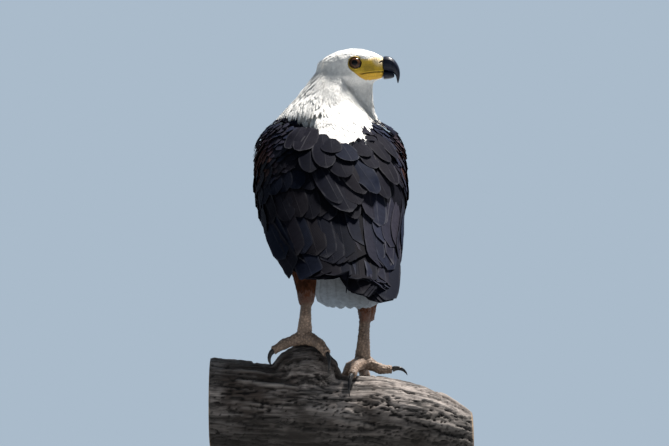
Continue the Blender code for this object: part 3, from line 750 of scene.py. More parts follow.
# first and last share, count, length, half width, root and tip heights, and the tips' places by share
WING_ROWS = {
    "left": [
        (0.42, 0.95, 8, 0.046, 0.0140, -0.0030, 0.0020, [(0.4, 0.104), (1.0, 0.080)]),
        (0.40, 0.94, 8, 0.056, 0.0150, -0.0030, 0.0018, [(0.4, 0.140), (1.0, 0.112)]),
        (0.42, 0.93, 8, 0.074, 0.0160, -0.0032, 0.0016, [(0.4, 0.182), (0.5, 0.178), (1.0, 0.150)]),
        (0.44, 0.92, 7, 0.100, 0.0165, -0.0036, 0.0014, [(0.4, 0.240), (0.6, 0.232), (1.0, 0.200)]),
    ],
    "right": [
        (0.16, 0.93, 7, 0.040, 0.0140, -0.0030, 0.0024, [(0.0, 0.060), (0.5, 0.060), (1.0, 0.050)]),
        (0.08, 0.93, 8, 0.048, 0.0155, -0.0030, 0.0022, [(0.0, 0.100), (0.5, 0.090), (1.0, 0.080)]),
        (0.05, 0.92, 7, 0.062, 0.0170, -0.0032, 0.0020, [(0.0, 0.135), (0.5, 0.130), (1.0, 0.115)]),
        (0.22, 0.90, 6, 0.100, 0.0170, -0.0036, 0.0018, [(0.2, 0.226), (0.6, 0.280), (1.0, 0.240)]),
    ],
}
FLIGHT_ROWS = {  # the same for the secondaries, under the coverts
    "left": [
        (0.16, 0.955, 12, 0.190, 0.0190, -0.0048, 0.0012,
         [(0.0, 0.300), (0.3, 0.318), (0.6, 0.322), (1.0, 0.275)]),
        (0.05, 0.965, 13, 0.180, 0.0190, -0.0070, 0.0004, WING_REAR),
    ],
    "right": [
        (0.05, 0.90, 9, 0.190, 0.0185, -0.0048, 0.0006,
         [(0.0, 0.290), (0.4, 0.322), (0.7, 0.320), (1.0, 0.270)]),
        (0.04, 0.80, 8, 0.180, 0.0185, -0.0070, -0.0010, WING_REAR),
    ],
}
# how far the rearmost feathers reach past the solid wing
REAR_REACH = 0.010
# tip along and angle, turn, length, half width, root and tip heights, shade, paleness of the rim, hue
SCAPULARS = [
    (0.240, 12, -12, 0.130, 0.0190, -0.001, 0.0040, 0.85, 0.3, 0.3),
    (0.232, 3, -15, 0.130, 0.0250, 0.000, 0.0095, 1.00, 0.9, 0.5),
    (0.216, -12, -14, 0.110, 0.0180, 0.000, 0.0085, 0.90, 0.7, 0.6),
    (0.216, 16, -20, 0.110, 0.0190, 0.000, 0.0085, 1.15, 0.6, 0.2),
    (0.198, 21, -20, 0.110, 0.0200, 0.001, 0.0105, 0.95, 0.6, 0.1),
    (0.193, 36, -26, 0.105, 0.0205, 0.001, 0.0115, 1.35, 0.5, 1.0),
    (0.190, 50, -26, 0.090, 0.0170, 0.000, 0.0060, 1.00, 0.4, 0.3),
    (0.156, -36, 10, 0.085, 0.0175, 0.001, 0.0085, 0.65, 0.3, 0.6),
    (0.172, 0, -10, 0.068, 0.0190, 0.002, 0.0108, 0.90, 0.2, 0.4),
    (0.154, -20, 4, 0.080, 0.0180, 0.002, 0.0102, 1.00, 0.8, 0.4),
    (0.158, 54, -24, 0.080, 0.0185, 0.001, 0.0090, 1.05, 0.6, 0.1),
    (0.145, 32, -24, 0.065, 0.0170, 0.001, 0.0085, 1.10, 0.4, 0.3),
    (0.143, 6, -12, 0.044, 0.0185, 0.003, 0.0115, 1.30, 0.6, 0.9),
    (0.126, -12, 6, 0.038, 0.0165, 0.003, 0.0100, 0.85, 0.3, 0.5),
    (0.110, -39, 28, 0.062, 0.0185, 0.002, 0.0092, 1.20, 0.9, 0.2),
    (0.095, -46, 28, 0.055, 0.0160, 0.002, 0.0080, 1.20, 0.8, 0.2),
    (0.128, 22, -18, 0.032, 0.0150, 0.003, 0.0090, 0.95, 0.3, 0.3),
    (0.120, 44, -26, 0.058, 0.0165, 0.001, 0.0080, 0.95, 0.4, 0.2),
    (0.098, 53, -28, 0.052, 0.0160, 0.001, 0.0075, 1.10, 0.6, 0.2),
]


def laid(plumes, hull, tips, turn, length, half_width, heights, shade, edge, hue=None, steps=11, columns=7,
         beyond=0.0, sharpest=SHARPEST_BEND, **form):
    """Large feathers by their tips, given as along and angle, and the way each is turned, in degrees. beyond:
    a last stretch that leaves the surface straight."""
    tips, turn, length, half_width, shade = (np.atleast_1d(np.asarray(v, float)) for v in
                                             (tips, turn, length, half_width, shade))
    at, normals = hull.settle_on(hull.at(tips[:, 0], tips[:, 1]))
    ways = turned(unit(np.broadcast_to(TAILWARD, at.shape)), normals, turn)
    length, half_width = np.broadcast_to(length, len(at)), np.broadcast_to(half_width, len(at))
    back = hull.walk(at, -ways, length, steps)
    straight = np.linalg.norm(back[-1][0] - at, axis=1) > STRAIGHTEST_KINK * length
    for first, second, third in zip(back, back[1:], back[2:]):
        bend = np.sum(unit(second[0] - first[0]) * unit(third[0] - second[0]), axis=1)
        straight &= bend > sharpest
    if not straight.any():
        return
    trail = [(points, normal, -way) for points, normal, way in reversed(back)]
    if beyond:
        points, normal, way = trail[-1]
        trail += [(points + way * beyond * share, normal, way) for share in (0.35, 0.7, 1.0)]
    trail = [tuple(part[straight] for part in step) for step in trail]
    tints = hued(len(at), hue) * np.broadcast_to(shade, len(at))[:, None]
    edge = np.broadcast_to(edge, len(at))[straight]
    plumes.add(trail, half_width[straight], heights, tints[straight], edge, columns=columns, **form)


def wing_row(plumes, hull, side, row, turn, shade=(0.70, 1.20), edge=(0.1, 0.5), **form):
    """A row of wing feathers, whose tips lie at shares of the way from the meeting line to the lower edge."""
    first, last, count, length, half_width, root, tip_height, tips = row
    sign, tone = SIDES[side], WING_PAINTED_LIGHT[side]
    shares = np.linspace(first, last, count) + 0.012 * RANDOM.uniform(-1, 1, count)
    along = between(tips, shares) + ROW_JITTER * RANDOM.uniform(-1, 1, count)
    meeting, low = between(WING_MEETING, along), between(WING_LOW, along)
    angle = np.where(sign > 0, meeting + shares * (low - meeting), meeting - shares * (low + meeting))
    turns = sign * (turn[0] + (turn[1] - turn[0]) * shares) + RANDOM.normal(0, 1.5, count)
    laid(
        plumes, hull, np.stack([along, angle], 1), turns, length * varied(count, 0.06),
        half_width * varied(count, 0.06), (root, tip_height),
        # the tone is painted light and shade: it makes the right wing's feathers lighter and the left wing's
        # darker
        RANDOM.uniform(*shade, count) * between(tone, shares),
        RANDOM.uniform(*edge, count) * between(tone, shares), roll=sign * ROW_ROLL, **form,
    )


def stiff_feather(plumes, rows, right, dorsal, lean, half_width, colour, edge, **form):
    """One feather by its middle line: along, right and towards the back. lean: of its face, to the right."""
    points = body_point(rows, right, dorsal)
    ways = unit(np.gradient(points, axis=0))
    normal = unit(DORSAL + lean * RIGHT)
    trail = [(p[None], normal[None], w[None]) for p, w in zip(points, ways)]
    plumes.add(trail, half_width, (0.0, 0.0), colour, edge, **form)


def add_primaries(plumes, side, count=6):
    """The long feathers of the wing's tip, each a little under the one before."""
    keys, sign = np.array(PRIMARIES[side]), SIDES[side]
    for i in range(count):
        share = i / (count - 1)
        rows = np.linspace(0.225, keys[-1, 0] - 0.016 * abs(share - 0.3), 12)
        half_width = between(keys, np.minimum(rows, 0.355), 3)
        right = between(keys, rows, 1) + (share - 0.5) * 0.8 * half_width * -sign
        dorsal = between(keys, rows, 2) + 0.0040 - 0.0012 * i
        stiff_feather(plumes, rows, right, dorsal, 0.25 * sign, 0.0185, hued(1) * 0.95, 0.4, columns=7,
                      tip=2.8, widest=0.80, bow=4.0, base=0.7)


def dress_wing(side, hull, finish):
    sign = SIDES[side]
    flight = Plumes("flight_" + side)
    for row in reversed(FLIGHT_ROWS[side]):
        wing_row(flight, hull, side, row, (-6, 4), shade=(0.7, 1.15), tip=2.6, widest=0.80, base=0.6, bow=4.5,
                 columns=7, steps=15, beyond=REAR_REACH if row[-1] is WING_REAR else 0.0)
    add_primaries(flight, side)
    coverts = Plumes("coverts_" + side)
    for row in reversed(WING_ROWS[side]):
        wing_row(coverts, hull, side, row, (-3, 4), tip=2.2, widest=0.60)
    small_feathers(
        coverts, hull,
        wanted=lambda p: (behind_cape(p) > -0.016) & (wing_share(p) < 0.99) & (along_body(p) < 0.105)
        & (sign * (body_places(p)[1] - between(WING_MEETING, along_body(p))) > 0),
        ends=lambda p: (behind_cape(p) > 0.008) & ((wing_share(p) < 0.94) | (along_body(p) < 0.05)),
        spacing=lambda p: 0.0058 + 0.0040 * smooth(0.0, 0.07, along_body(p)),
        share=lambda p: smooth(0.0, 0.08, along_body(p)), length=(0.016, 0.032), half_width=(0.0056, 0.0106),
        sink=lambda p: 0.003 - 0.0065 * bend_of_wing(p),
        rise=lambda p: 0.0014 + 0.0048 * bend_of_wing(p) - 0.0009 * smooth(65, 85, np.abs(body_places(p)[1])),
        shade=0.25, edge=0.45, tip=1.9, rows=6, columns=5, stray=8, lift=0.15, roll=0.0001, colour=dark_coat,
    )
    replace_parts(flight.build(finish, "dark_plumage"), f"wing_{side}_tip")
    coverts.build(finish, "dark_plumage")


def dress_back(hull, finish):
    scapulars = Plumes("scapulars")
    for along, angle, turn, length, half_width, root, tip, shade, edge, hue in SCAPULARS:
        laid(scapulars, hull, [(along, angle)], turn, length, half_width, (root, tip), shade, edge, hue,
             steps=15, columns=9, sharpest=0.0, tip=2.0, widest=0.58, bow=6.0, thick=0.0005, base=0.45)
    scapulars.build(finish, "dark_plumage")


def dress_tail(finish, count=7):
    tail = Plumes("tail_feathers")
    for i in range(count):
        out = np.sin((i + 0.5) / count * math.pi - math.pi / 2)
        rows = np.linspace(0.190, 0.378 - 0.012 * out**2, 13)
        right = between(TAIL_KEYS, rows, 1) + out * (between(TAIL_KEYS, np.minimum(rows, 0.343), 3) - 0.012)
        dorsal = between(TAIL_KEYS, rows, 2) + 0.0062 - 0.0022 * abs(2 * i + 1 - count) / 2
        tint = TAIL_WHITE_BLUE_SHADE[None] * RANDOM.uniform(0.82, 1.0)
        # edge 1.0 paints the white feathers' rims and shafts grey: the grey rims are painted shade between
        # the feathers
        stiff_feather(tail, rows, right, dorsal, 0.10 * out, 0.0190, tint, 1.0, columns=9, tip=2.2,
                      widest=0.78, bow=6.0, base=0.55)
    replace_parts(tail.build(finish, "white_plumage"), "tail")


# ---- skin ----
FLESH = ("head", "neck", "trunk", "wing_left", "wing_right", "thigh_left", "thigh_right", "shank_left",
         "shank_right", "foot_left", "foot_right")
SKIN_SWELL, SKIN_VOXEL = 0.0005, 0.0016
SCUTE, SCUTE_HEIGHT = 0.0042, 0.0008  # of one of the feet's scutes
NEAR_WING = 0.0055


def distance_to(points, *nodes):
    """How far each point is from the nearest of these nodes of the frame."""
    out = np.full(len(points), np.inf)
    for node in nodes:
        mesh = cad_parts[node].data
        corners = [tuple(face.vertices) for face in mesh.polygons]
        tree = BVHTree.FromPolygons([vert.co for vert in mesh.vertices], corners)
        out = np.minimum(out, [tree.find_nearest(point)[3] for point in points])
    return out


def leg_share(points):
    """0 at the ankle, 1 at the hock of the nearer leg, by height."""
    ends = [(over_crest(ANKLE[side])[2], over_crest(HOCK[side])[2]) for side in SIDES]
    return np.where(points[:, 0] < 0, *((points[:, 2] - ankle) / (hock - ankle) for ankle, hock in ends))


def coat_depth(points):
    """How far the skin lies under the plumage's outside."""
    head = 0.0005 + 0.0020 * smooth(0.0, -0.04, ahead_of_eyes(points))
    depth = np.where(over(points) > 0.40, head + (0.0026 - head) * smooth(0.46, 0.42, over(points)), 0.0026)
    depth = np.where(white_part(points) > 0.5, depth, 0.005)
    depth = np.where(dark_part(points) > 0.1, 0.0028, depth)
    return np.where(over(points) < LEGS_TO, 0.0035 * smooth(0.95, 1.5, leg_share(points)), depth)


def refine(obj, wanted):
    """Splits the faces whose middles are wanted."""
    bm = bmesh.new()
    bm.from_mesh(obj.data)
    chosen = wanted(np.array([face.calc_center_median() for face in bm.faces]))
    edges = {edge for face, take in zip(bm.faces, chosen) if take for edge in face.edges}
    bmesh.ops.subdivide_edges(bm, edges=list(edges), cuts=1, use_grid_fill=True, smooth=0.0)
    bmesh.ops.triangulate(bm, faces=bm.faces[:])
    bm.to_mesh(obj.data)
    bm.free()


def scutes(points):
    """1 on the feet's scutes, 0 in the seams between them."""
    out = np.zeros(len(points))
    for i, point in enumerate(points / SCUTE):
        nearest = noise.voronoi(Vector(point))[0]
        out[i] = min(1.0, (nearest[1] - nearest[0]) * 2.2)
    return out


def skin_surface():
    """The flesh as one surface, finest on the face and the feet, under the coat's depth."""
    skin = fused("skin", FLESH, SKIN_SWELL, SKIN_VOXEL, 3)
    points = coordinates(skin.data)
    face = (points[:, 2] > CREST + HEAD_FROM) & (ahead_of_eyes(points) > -0.016)
    fine = face | (points[:, 2] < CREST + 0.120)
    coarse = skin.vertex_groups.new(name="coarse")
    coarse.add(np.nonzero(~fine)[0].tolist(), 1.0, "REPLACE")
    fewer = skin.modifiers.new("fewer", "DECIMATE")
    fewer.ratio, fewer.vertex_group = 0.28, coarse.name
    settle(skin)
    refine(skin, lambda p: ((p[:, 2] > CREST + 0.455) & (ahead_of_eyes(p) > -0.013))
           | (p[:, 2] < CREST + 0.105))
    points = coordinates(skin.data)
    points = points - normals_of(skin.data) * (SKIN_SWELL + coat_depth(points))[:, None]
    move_to(skin.data, laid_back(points))
    return skin


def leg_colour(points, plates):
    """Scaly legs, mottled and darker upwards, and darker between their scutes, under chestnut feathers."""
    share = leg_share(points)
    mottled_darkening = 0.5 * fractal(points, (26, 26, 16)) + 0.6 * smooth(0.0, 0.9, share) - 0.05
    bare = mixed(LEG_TAN, LEG_DARK, 0.7 * smooth(0.05, 0.55, mottled_darkening)[:, None])
    return mixed(bare * (0.45 + 0.55 * plates)[:, None], CHESTNUT, smooth(0.62, 0.75, share)[:, None])


def make_skin(finish):
    skin = skin_surface()
    points, normals = coordinates(skin.data), normals_of(skin.data)
    head, feet = points[:, 2] > CREST + HEAD_FROM, points[:, 2] < CREST + FEET_TO
    points[head] += normals[head] * face_relief(points[head])[:, None]
    plates = np.ones(len(points))
    plates[feet] = scutes(points[feet])
    points[feet] += normals[feet] * SCUTE_HEIGHT * plates[feet][:, None]
    move_to(skin.data, points)
    to_wing = distance_to(points, "wing_left", "wing_right")
    on_wing = (to_wing < NEAR_WING) & (white_part(points) < 0.5)
    colours = np.where(on_wing[:, None], DARK, coat_colour(points))
    bare = on_face(points) * smooth(CREST + HEAD_FROM, CREST + 0.45, points[:, 2])
    colours = mixed(colours, face_colour(points), bare[:, None])
    legs = (points[:, 2] < CREST + LEGS_TO) & (to_wing > NEAR_WING)
    colours = np.where(legs[:, None], leg_colour(points, plates), colours)
    paint(skin.data, "Tint", np.column_stack([colours, np.maximum(bare, legs * 1.0)]))
    complete(skin, finish, "leg_skin", *FLESH)


# ---- materials ----
class Nodes:
    """A node tree, with short ways to add to it and to link what it holds."""

    def __init__(self, tree):
        self.tree = tree

    def plug(self, socket, value):
        if isinstance(value, bpy.types.NodeSocket):
            self.tree.links.new(value, socket)
        elif isinstance(value, tuple) and len(value) == 3 and socket.type == "RGBA":
            socket.default_value = (*value, 1)
        else:
            socket.default_value = value

    def add(self, kind, inputs=(), **settings):
        node = self.tree.nodes.new("ShaderNode" + kind)
        for key, value in settings.items():
            setattr(node, key, value)
        for key, value in dict(inputs).items():
            self.plug(node.inputs[key], value)
        return node

    def math(self, operation, a, b=0.0):
        return self.add("Math", {0: a, 1: b}, operation=operation).outputs[0]

    def times(self, a, b):
        return self.math("MULTIPLY", a, b)

    def ramp(self, value, low, high, to_low=0.0, to_high=1.0):
        node = self.add("MapRange", {"Value": value, "From Min": low, "From Max": high, "To Min": to_low,
                                     "To Max": to_high}, interpolation_type="SMOOTHSTEP")
        return node.outputs["Result"]

    def mix(self, factor, a, b, blend="MIX"):
        return self.add("Mix", {0: factor, 6: a, 7: b}, data_type="RGBA", blend_type=blend).outputs[2]

    def shaded(self, colour, factor):
        return self.mix(1.0, colour, factor, "MULTIPLY")

    def here(self):
        return self.add("TexCoord").outputs["Object"]

    def places(self, scale=(1.0, 1.0, 1.0)):
        return self.add("Mapping", {"Vector": self.here(), "Scale": scale}).outputs[0]

    def noise(self, vector, scale, detail=4.0, roughness=0.55, distortion=0.0):
        node = self.add("TexNoise", {"Vector": vector, "Scale": scale, "Detail": detail,
                                     "Roughness": roughness, "Distortion": distortion})
        return node.outputs[0]

    def bump(self, height, distance, strength, after=None):
        node = self.add("Bump", {"Height": height, "Distance": distance, "Strength": strength})
        if after is not None:
            self.plug(node.inputs["Normal"], after)
        return node.outputs[0]


class Finish(Nodes):
    """The node tree of a new material."""

    def __init__(self, name):
        self.material = bpy.data.materials.new(name)
        self.material.use_nodes = True
        super().__init__(self.material.node_tree)

    def done(self, **values):
        shader = self.tree.nodes["Principled BSDF"]
        for key, value in values.items():
            self.plug(shader.inputs[key.replace("_", " ")], value)
        return self.material


def plumage_finish():
    """The feathers' tints with streaks, barbs, pale shafts and pale, broken rims."""
    n = Finish("plumage")
    tint = n.add("Attribute", attribute_name="Tint")
    vane = n.add("SeparateXYZ", {"Vector": n.add("UVMap", uv_map="Vane").outputs[0]})
    across = n.math("ABSOLUTE", n.math("SUBTRACT", n.times(vane.outputs[0], 2.0), 1.0))
    along = vane.outputs[1]
    rim = n.math("MAXIMUM", n.ramp(across, 0.80, 0.97), n.ramp(along, 0.93, 0.995))
    shaft = n.ramp(across, 0.07, 0.02)
    barb = n.math("SINE", n.times(n.math("SUBTRACT", along, n.times(across, 0.22)), 260.0))
    streak = n.noise(n.places(), 160.0, 3.0)
    shade = n.math("ADD", n.ramp(streak, 0.3, 0.7, 0.88, 1.10), n.times(barb, 0.035))
    base = n.shaded(tint.outputs["Color"], shade)
    pale = n.mix(0.30, base, (0.20, 0.20, 0.215))
    mark = n.times(n.math("MAXIMUM", rim, n.times(shaft, 0.6)), tint.outputs["Alpha"])
    broken = n.ramp(n.noise(n.places(), 45.0, 2.0), 0.38, 0.62, 0.15, 0.70)
    colour = n.mix(n.times(mark, broken), base, pale)
    relief = n.math("ADD", n.times(barb, 0.5), n.times(shaft, 1.5))
    return n.done(Base_Color=colour, Roughness=0.62, Specular_IOR_Level=0.012,
                  Normal=n.bump(relief, 0.00015, 0.6))


def skin_finish():
    """The skin's tints. Where it is bare it is glossier and shows fine scales."""
    n = Finish("skin")
    tint = n.add("Attribute", attribute_name="Tint")
    bare = tint.outputs["Alpha"]
    here = n.places()
    fine, broad = n.noise(here, 420.0, 3.0), n.noise(here, 60.0, 3.0)
    shade = n.times(n.ramp(fine, 0.3, 0.7, 0.86, 1.08), n.ramp(broad, 0.3, 0.7, 0.88, 1.08))
    scales = n.add("TexVoronoi", {"Vector": here, "Scale": 430.0}, feature="DISTANCE_TO_EDGE").outputs[0]
    seams = n.mix(bare, (1.0, 1.0, 1.0), n.ramp(scales, 0.0, 0.12, 0.72, 1.0))
    colour = n.shaded(n.shaded(tint.outputs["Color"], shade), seams)
    relief = n.bump(n.ramp(scales, 0.0, 0.15), 0.0003, 0.6)
    return n.done(Base_Color=colour, Roughness=0.55, Specular_IOR_Level=n.ramp(bare, 0.0, 1.0, 0.01, 0.35),
                  Normal=n.bump(fine, 0.0003, 0.5, relief))


def horn_finish(name, tone, tip):
    n = Finish(name)
    lines = n.noise(n.places((300.0, 300.0, 90.0)), 1.0)
    colour = n.mix(n.ramp(lines, 0.35, 0.75), tone, tip)
    return n.done(Base_Color=colour, Roughness=0.30, Specular_IOR_Level=0.3,
                  Normal=n.bump(lines, 0.0002, 0.35))


def eye_middle(side):
    """The eyeball's middle, and the way it looks."""
    out = HEAD_LEFT * -SIDES[side]
    return Vector(EYES + BILLWARD * EYE_FORWARD + out * EYE_OUT + UP * EYE_UP), Vector(out)


def eye_finish(side):
    """Pupil, brown iris and dark rim, by the depth in the way the eye looks."""
    n = Finish("eye_" + side)
    middle, out = eye_middle(side)
    here = n.here()
    away = n.add("VectorMath", {0: here, 1: middle}, operation="SUBTRACT").outputs[0]
    depth = n.add("VectorMath", {0: away, 1: out}, operation="DOT_PRODUCT").outputs["Value"]
    brown = n.mix(n.noise(here, 900.0, 3.0), (0.034, 0.015, 0.008), (0.085, 0.037, 0.016))
    pupil = n.ramp(depth, EYE_RADIUS * 0.915, EYE_RADIUS * 0.93)
    rim = n.ramp(depth, EYE_RADIUS * 0.70, EYE_RADIUS * 0.64)
    colour = n.mix(rim, n.mix(pupil, brown, (0.004, 0.004, 0.005)), (0.015, 0.010, 0.008))
    return n.done(Base_Color=colour, Roughness=0.15, Specular_IOR_Level=0.08, Coat_Weight=0.2,
                  Coat_Roughness=0.03)


def wood_finish():
    """Weathered wood with rings on the sawn ends, with painted shade in its cracks, painted shade darkening
    it towards the bottom, and painted light on its ridges.
    """
    n = Finish("weathered_wood")
    tint = n.add("Attribute", attribute_name="CrackShadeRidgeLightEnds")
    parts = n.add("SeparateColor", {"Color": tint.outputs["Color"]})
    crack, ridge, sawn = parts.outputs[0], parts.outputs[1], parts.outputs[2]
    grain = n.noise(n.places((14.0, 120.0, 120.0)), 1.0, 6.0, 0.6, 0.4)
    fibre = n.noise(n.places((40.0, 520.0, 520.0)), 1.0)
    grey = n.mix(n.ramp(grain, 0.36, 0.64), (0.012, 0.010, 0.009), (0.300, 0.262, 0.242))
    brown = n.mix(n.ramp(n.noise(n.places(), 14.0), 0.40, 0.66), grey, (0.040, 0.028, 0.022))
    fine = n.shaded(brown, n.ramp(fibre, 0.3, 0.7, 0.62, 1.20))
    # painted light: the ridges are painted lighter
    lit = n.mix(n.times(ridge, 0.40), fine, (0.52, 0.47, 0.44))
    height = n.add("SeparateXYZ", {"Vector": n.here()}).outputs[2]
    # painted shade: the cracks are painted nearly black, and the wood is painted darker towards the bottom
    bark = n.mix(crack, lit, (0.012, 0.009, 0.008))
    bark = n.mix(n.ramp(height, 0.205, 0.130, 0.0, 0.75), bark, (0.014, 0.012, 0.010))
    rings = n.add("Attribute", attribute_name="Rings").outputs["Fac"]
    wave = n.math("SINE", n.times(rings, 1300.0))
    end = n.mix(n.ramp(wave, -0.6, 0.9), (0.15, 0.095, 0.055), (0.36, 0.26, 0.165))
    end = n.mix(n.ramp(rings, 0.062, 0.030), end, (0.17, 0.105, 0.060))
    end = n.shaded(end, n.ramp(n.noise(n.places(), 300.0), 0.3, 0.7, 0.80, 1.1))
    relief = n.math("ADD", n.times(fibre, 0.7), grain)
    return n.done(Base_Color=n.mix(sawn, bark, end), Roughness=0.88, Normal=n.bump(relief, 0.0012, 0.7))


def board_finish():
    n = Finish("stand_board")
    grain = n.noise(n.places((6.0, 70.0, 70.0)), 1.0, 5.0, 0.6, 0.6)
    colour = n.mix(n.ramp(grain, 0.3, 0.7), (0.050, 0.030, 0.019), (0.105, 0.064, 0.038))
    return n.done(Base_Color=colour, Roughness=n.ramp(grain, 0.3, 0.7, 0.34, 0.48),
                  Normal=n.bump(grain, 0.0003, 0.3))


def steel_finish():
    n = Finish("stand_steel")
    brushed = n.noise(n.places((900.0, 900.0, 12.0)), 1.0, 3.0)
    colour = n.mix(n.ramp(brushed, 0.3, 0.7), (0.46, 0.46, 0.47), (0.60, 0.60, 0.61))
    return n.done(Base_Color=colour, Metallic=1.0, Roughness=n.ramp(brushed, 0.3, 0.7, 0.26, 0.42))


def floor_finish():
    n = Finish("floor")
    speckle = n.noise(n.places(), 30.0, 3.0)
    return n.done(Base_Color=n.mix(speckle, (0.46, 0.48, 0.50), (0.50, 0.52, 0.54)), Roughness=0.8)


# ---- eyes, bill and claws ----
HORN_SWELL, HORN_VOXEL = 0.00005, 0.0005
CORNEA_FROM, CORNEA_RISE = 0.80, 0.0022  # share of the radius, and how steeply the cornea stands out


def finer(node, name, rounds, finish):
    """A finer copy of one horny node of the frame, in its place."""
    complete(fused(name, [node], HORN_SWELL, HORN_VOXEL, rounds), finish, "horn", node)


def make_eye(side):
    middle, out = eye_middle(side)
    bm = bmesh.new()
    bmesh.ops.create_uvsphere(bm, u_segments=48, v_segments=32, radius=EYE_RADIUS)
    for vert in bm.verts:
        vert.co.z += max(0.0, vert.co.z / EYE_RADIUS - CORNEA_FROM) * CORNEA_RISE
    bm.transform(Matrix.Translation(middle) @ out.to_track_quat("Z", "Y").to_matrix().to_4x4())
    mesh = bpy.data.meshes.new("eyeball_" + side)
    bm.to_mesh(mesh)
    bm.free()
    complete(linked("eyeball_" + side, mesh), eye_finish(side), "eye", "eye_" + side)


# ---- the log ----
LOG_VOXEL = 0.0026
LOG_AXIS = [(-0.185, 0.186), (0.0, 0.161), (0.205, 0.115)]  # x, height
FURROW, RIDGE, ROUGH = 0.0060, 0.0032, 0.0009  # how deep or high they are


def make_log(finish):
    log = fused("log", ["perch"], 0.0, LOG_VOXEL, 2)
    low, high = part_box("perch")
    points, normals = coordinates(log.data), normals_of(log.data)
    x = points[:, 0]
    to_end = np.minimum(x - low.x, high.x - x)
    sawn = smooth(0.0030, 0.0012, to_end) * smooth(0.6, 0.9, np.abs(normals[:, 0]))
    across, up = points[:, 1], points[:, 2] - between(LOG_AXIS, x)
    turn = np.arctan2(up, across) + 0.7 * x
    wound = np.stack([x * 9, 5.2 * np.cos(turn), 5.2 * np.sin(turn)], 1)
    crack = smooth(0.075, 0.012, np.abs(fractal(wound, (1.0, 1.0, 1.0))))
    second = smooth(0.05, 0.01, np.abs(fractal(wound + 7.3, (1.7, 2.3, 2.3), 2)))
    crack = np.maximum(crack, 0.6 * second)
    ridge = smooth(0.25, 0.75, np.abs(fractal(wound + 3.1, (0.8, 1.5, 1.5))))
    relief = -FURROW * crack + RIDGE * (ridge - 0.5) + ROUGH * fractal(points, (60, 60, 60))
    relief *= (1 - sawn) * (smooth(0.0, 0.006, to_end) * 0.8 + 0.2)
    move_to(log.data, points + normals * relief[:, None])
    # the crack and ridge masks carry painted shade in the cracks and painted light on the ridges
    paint(log.data, "CrackShadeRidgeLightEnds", np.stack([crack * (1 - sawn), ridge, sawn, np.ones(len(points))], 1))
    radius = np.hypot(across, up) + 0.0015 * fractal(points, (30, 30, 30), 2)
    log.data.attributes.new("Rings", "FLOAT", "POINT").data.foreach_set("value", flat(radius))
    complete(log, finish, "wood", "perch")


# ---- the stage ----
SKY = (0.402, 0.497, 0.597)
# the sky's strength goes from dim to full where a direction's share along +Y goes from one to the other
SKY_FROM, SKY_TO, SKY_DIM, SKY_FULL = -0.2, 0.8, 0.32, 1.0
LAMP_TURN, LAMP_RISE, LAMP_AWAY = math.radians(115), math.radians(66), 3.0
LAMP_SIZE, LAMP_POWER, LAMP_COLOUR, LAMP_AIM = 0.50, 305, (1.0, 0.96, 0.91), Vector((0.0, 0.0, 0.45))
CAMERA_RISE, CAMERA_AWAY, CAMERA_AIM = math.radians(5), 4.0, Vector((0.0, 0.0, 0.4555))
SENSOR, PICTURE_WIDTH = 36.0, 1.0035  # the sensor in mm, and what the picture spans at the bird
FLOOR_REACH = 30.0


def make_floor():
    bm = bmesh.new()
    bmesh.ops.create_grid(bm, x_segments=24, y_segments=24, size=FLOOR_REACH)
    mesh = bpy.data.meshes.new("floor")
    bm.to_mesh(mesh)
    bm.free()
    mesh.materials.append(floor_finish())
    linked("floor", mesh)


def make_sky(scene):
    scene.world = bpy.data.worlds.new("studio")
    scene.world.use_nodes = True
    n = Nodes(scene.world.node_tree)
    background = n.tree.nodes["Background"]
    way = n.add("SeparateXYZ", {0: n.add("TexCoord").outputs["Generated"]})
    n.plug(background.inputs["Strength"], n.ramp(way.outputs["Y"], SKY_FROM, SKY_TO, SKY_DIM, SKY_FULL))
    n.plug(background.inputs["Color"], SKY)


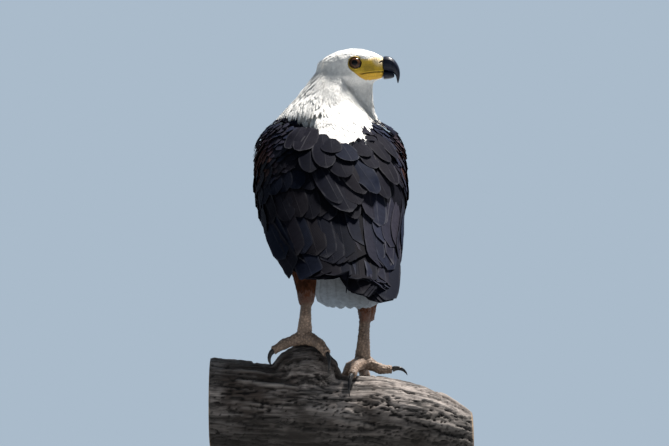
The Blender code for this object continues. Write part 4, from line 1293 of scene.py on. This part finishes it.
def make_lamp(scene):
    """One lamp. Its turn is 0 on the camera's side and goes round by the right of the picture."""
    way = Vector((math.sin(LAMP_TURN) * math.cos(LAMP_RISE), -math.cos(LAMP_TURN) * math.cos(LAMP_RISE),
                  math.sin(LAMP_RISE)))
    data = bpy.data.lights.new("key", "AREA")
    data.shape, data.size, data.energy, data.color = "DISK", LAMP_SIZE, LAMP_POWER, LAMP_COLOUR
    lamp = bpy.data.objects.new("key", data)
    lamp.location = LAMP_AIM + way * LAMP_AWAY
    lamp.rotation_euler = way.to_track_quat("Z", "Y").to_euler()
    scene.collection.objects.link(lamp)


def make_camera(scene):
    data = bpy.data.cameras.new("camera")
    data.sensor_width, data.lens = SENSOR, SENSOR * CAMERA_AWAY / PICTURE_WIDTH
    camera = bpy.data.objects.new("camera", data)
    camera.location = CAMERA_AIM - Vector((0, math.cos(CAMERA_RISE), math.sin(CAMERA_RISE))) * CAMERA_AWAY
    camera.rotation_euler = (math.pi / 2 + CAMERA_RISE, 0, 0)
    scene.collection.objects.link(camera)
    scene.camera = camera


# ---- the whole ----
def dress_bird():
    plumage = plumage_finish()
    make_skin(skin_finish())
    body = Hull("body", ["head", "neck", "trunk"])
    back = Hull("back", ["neck", "trunk", "wing_left", "wing_right", "wing_left_tip", "wing_right_tip"])
    front = Hull("front", ["head", "neck", "trunk", "wing_left", "wing_right"])
    cover_head_and_neck(front, plumage)
    cover_trunk(body, plumage)
    for side in SIDES:
        cover_leg(side, Hull("leg_" + side, ["thigh_" + side, "shank_" + side]), plumage)
        dress_wing(side, back, plumage)
        make_eye(side)
    dress_back(back, plumage)
    dress_tail(plumage)
    bill = horn_finish("bill", (0.005, 0.006, 0.013), (0.012, 0.015, 0.030))
    finer("bill_upper", "bill_top", 6, bill)
    finer("bill_lower", "bill_base", 4, bill)
    claws = horn_finish("claws", (0.010, 0.010, 0.012), (0.040, 0.038, 0.036))
    for side in SIDES:
        for toe in ("outer", "middle", "inner", "hind"):
            finer(f"claw_{side}_{toe}", f"talon_{side}_{toe}", 4, claws)


def finish_stand():
    steel = steel_finish()
    finishes = {"stand_base": board_finish(), "stand_rod_left": steel, "stand_rod_right": steel}
    for node, finish in finishes.items():
        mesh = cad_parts[node].data
        mesh.materials.clear()
        mesh.materials.append(finish)


def main():
    dress_bird()
    make_log(wood_finish())
    finish_stand()
    scene = bpy.context.scene
    scene.view_settings.view_transform = "Standard"
    make_floor()
    make_sky(scene)
    make_lamp(scene)
    make_camera(scene)


main()
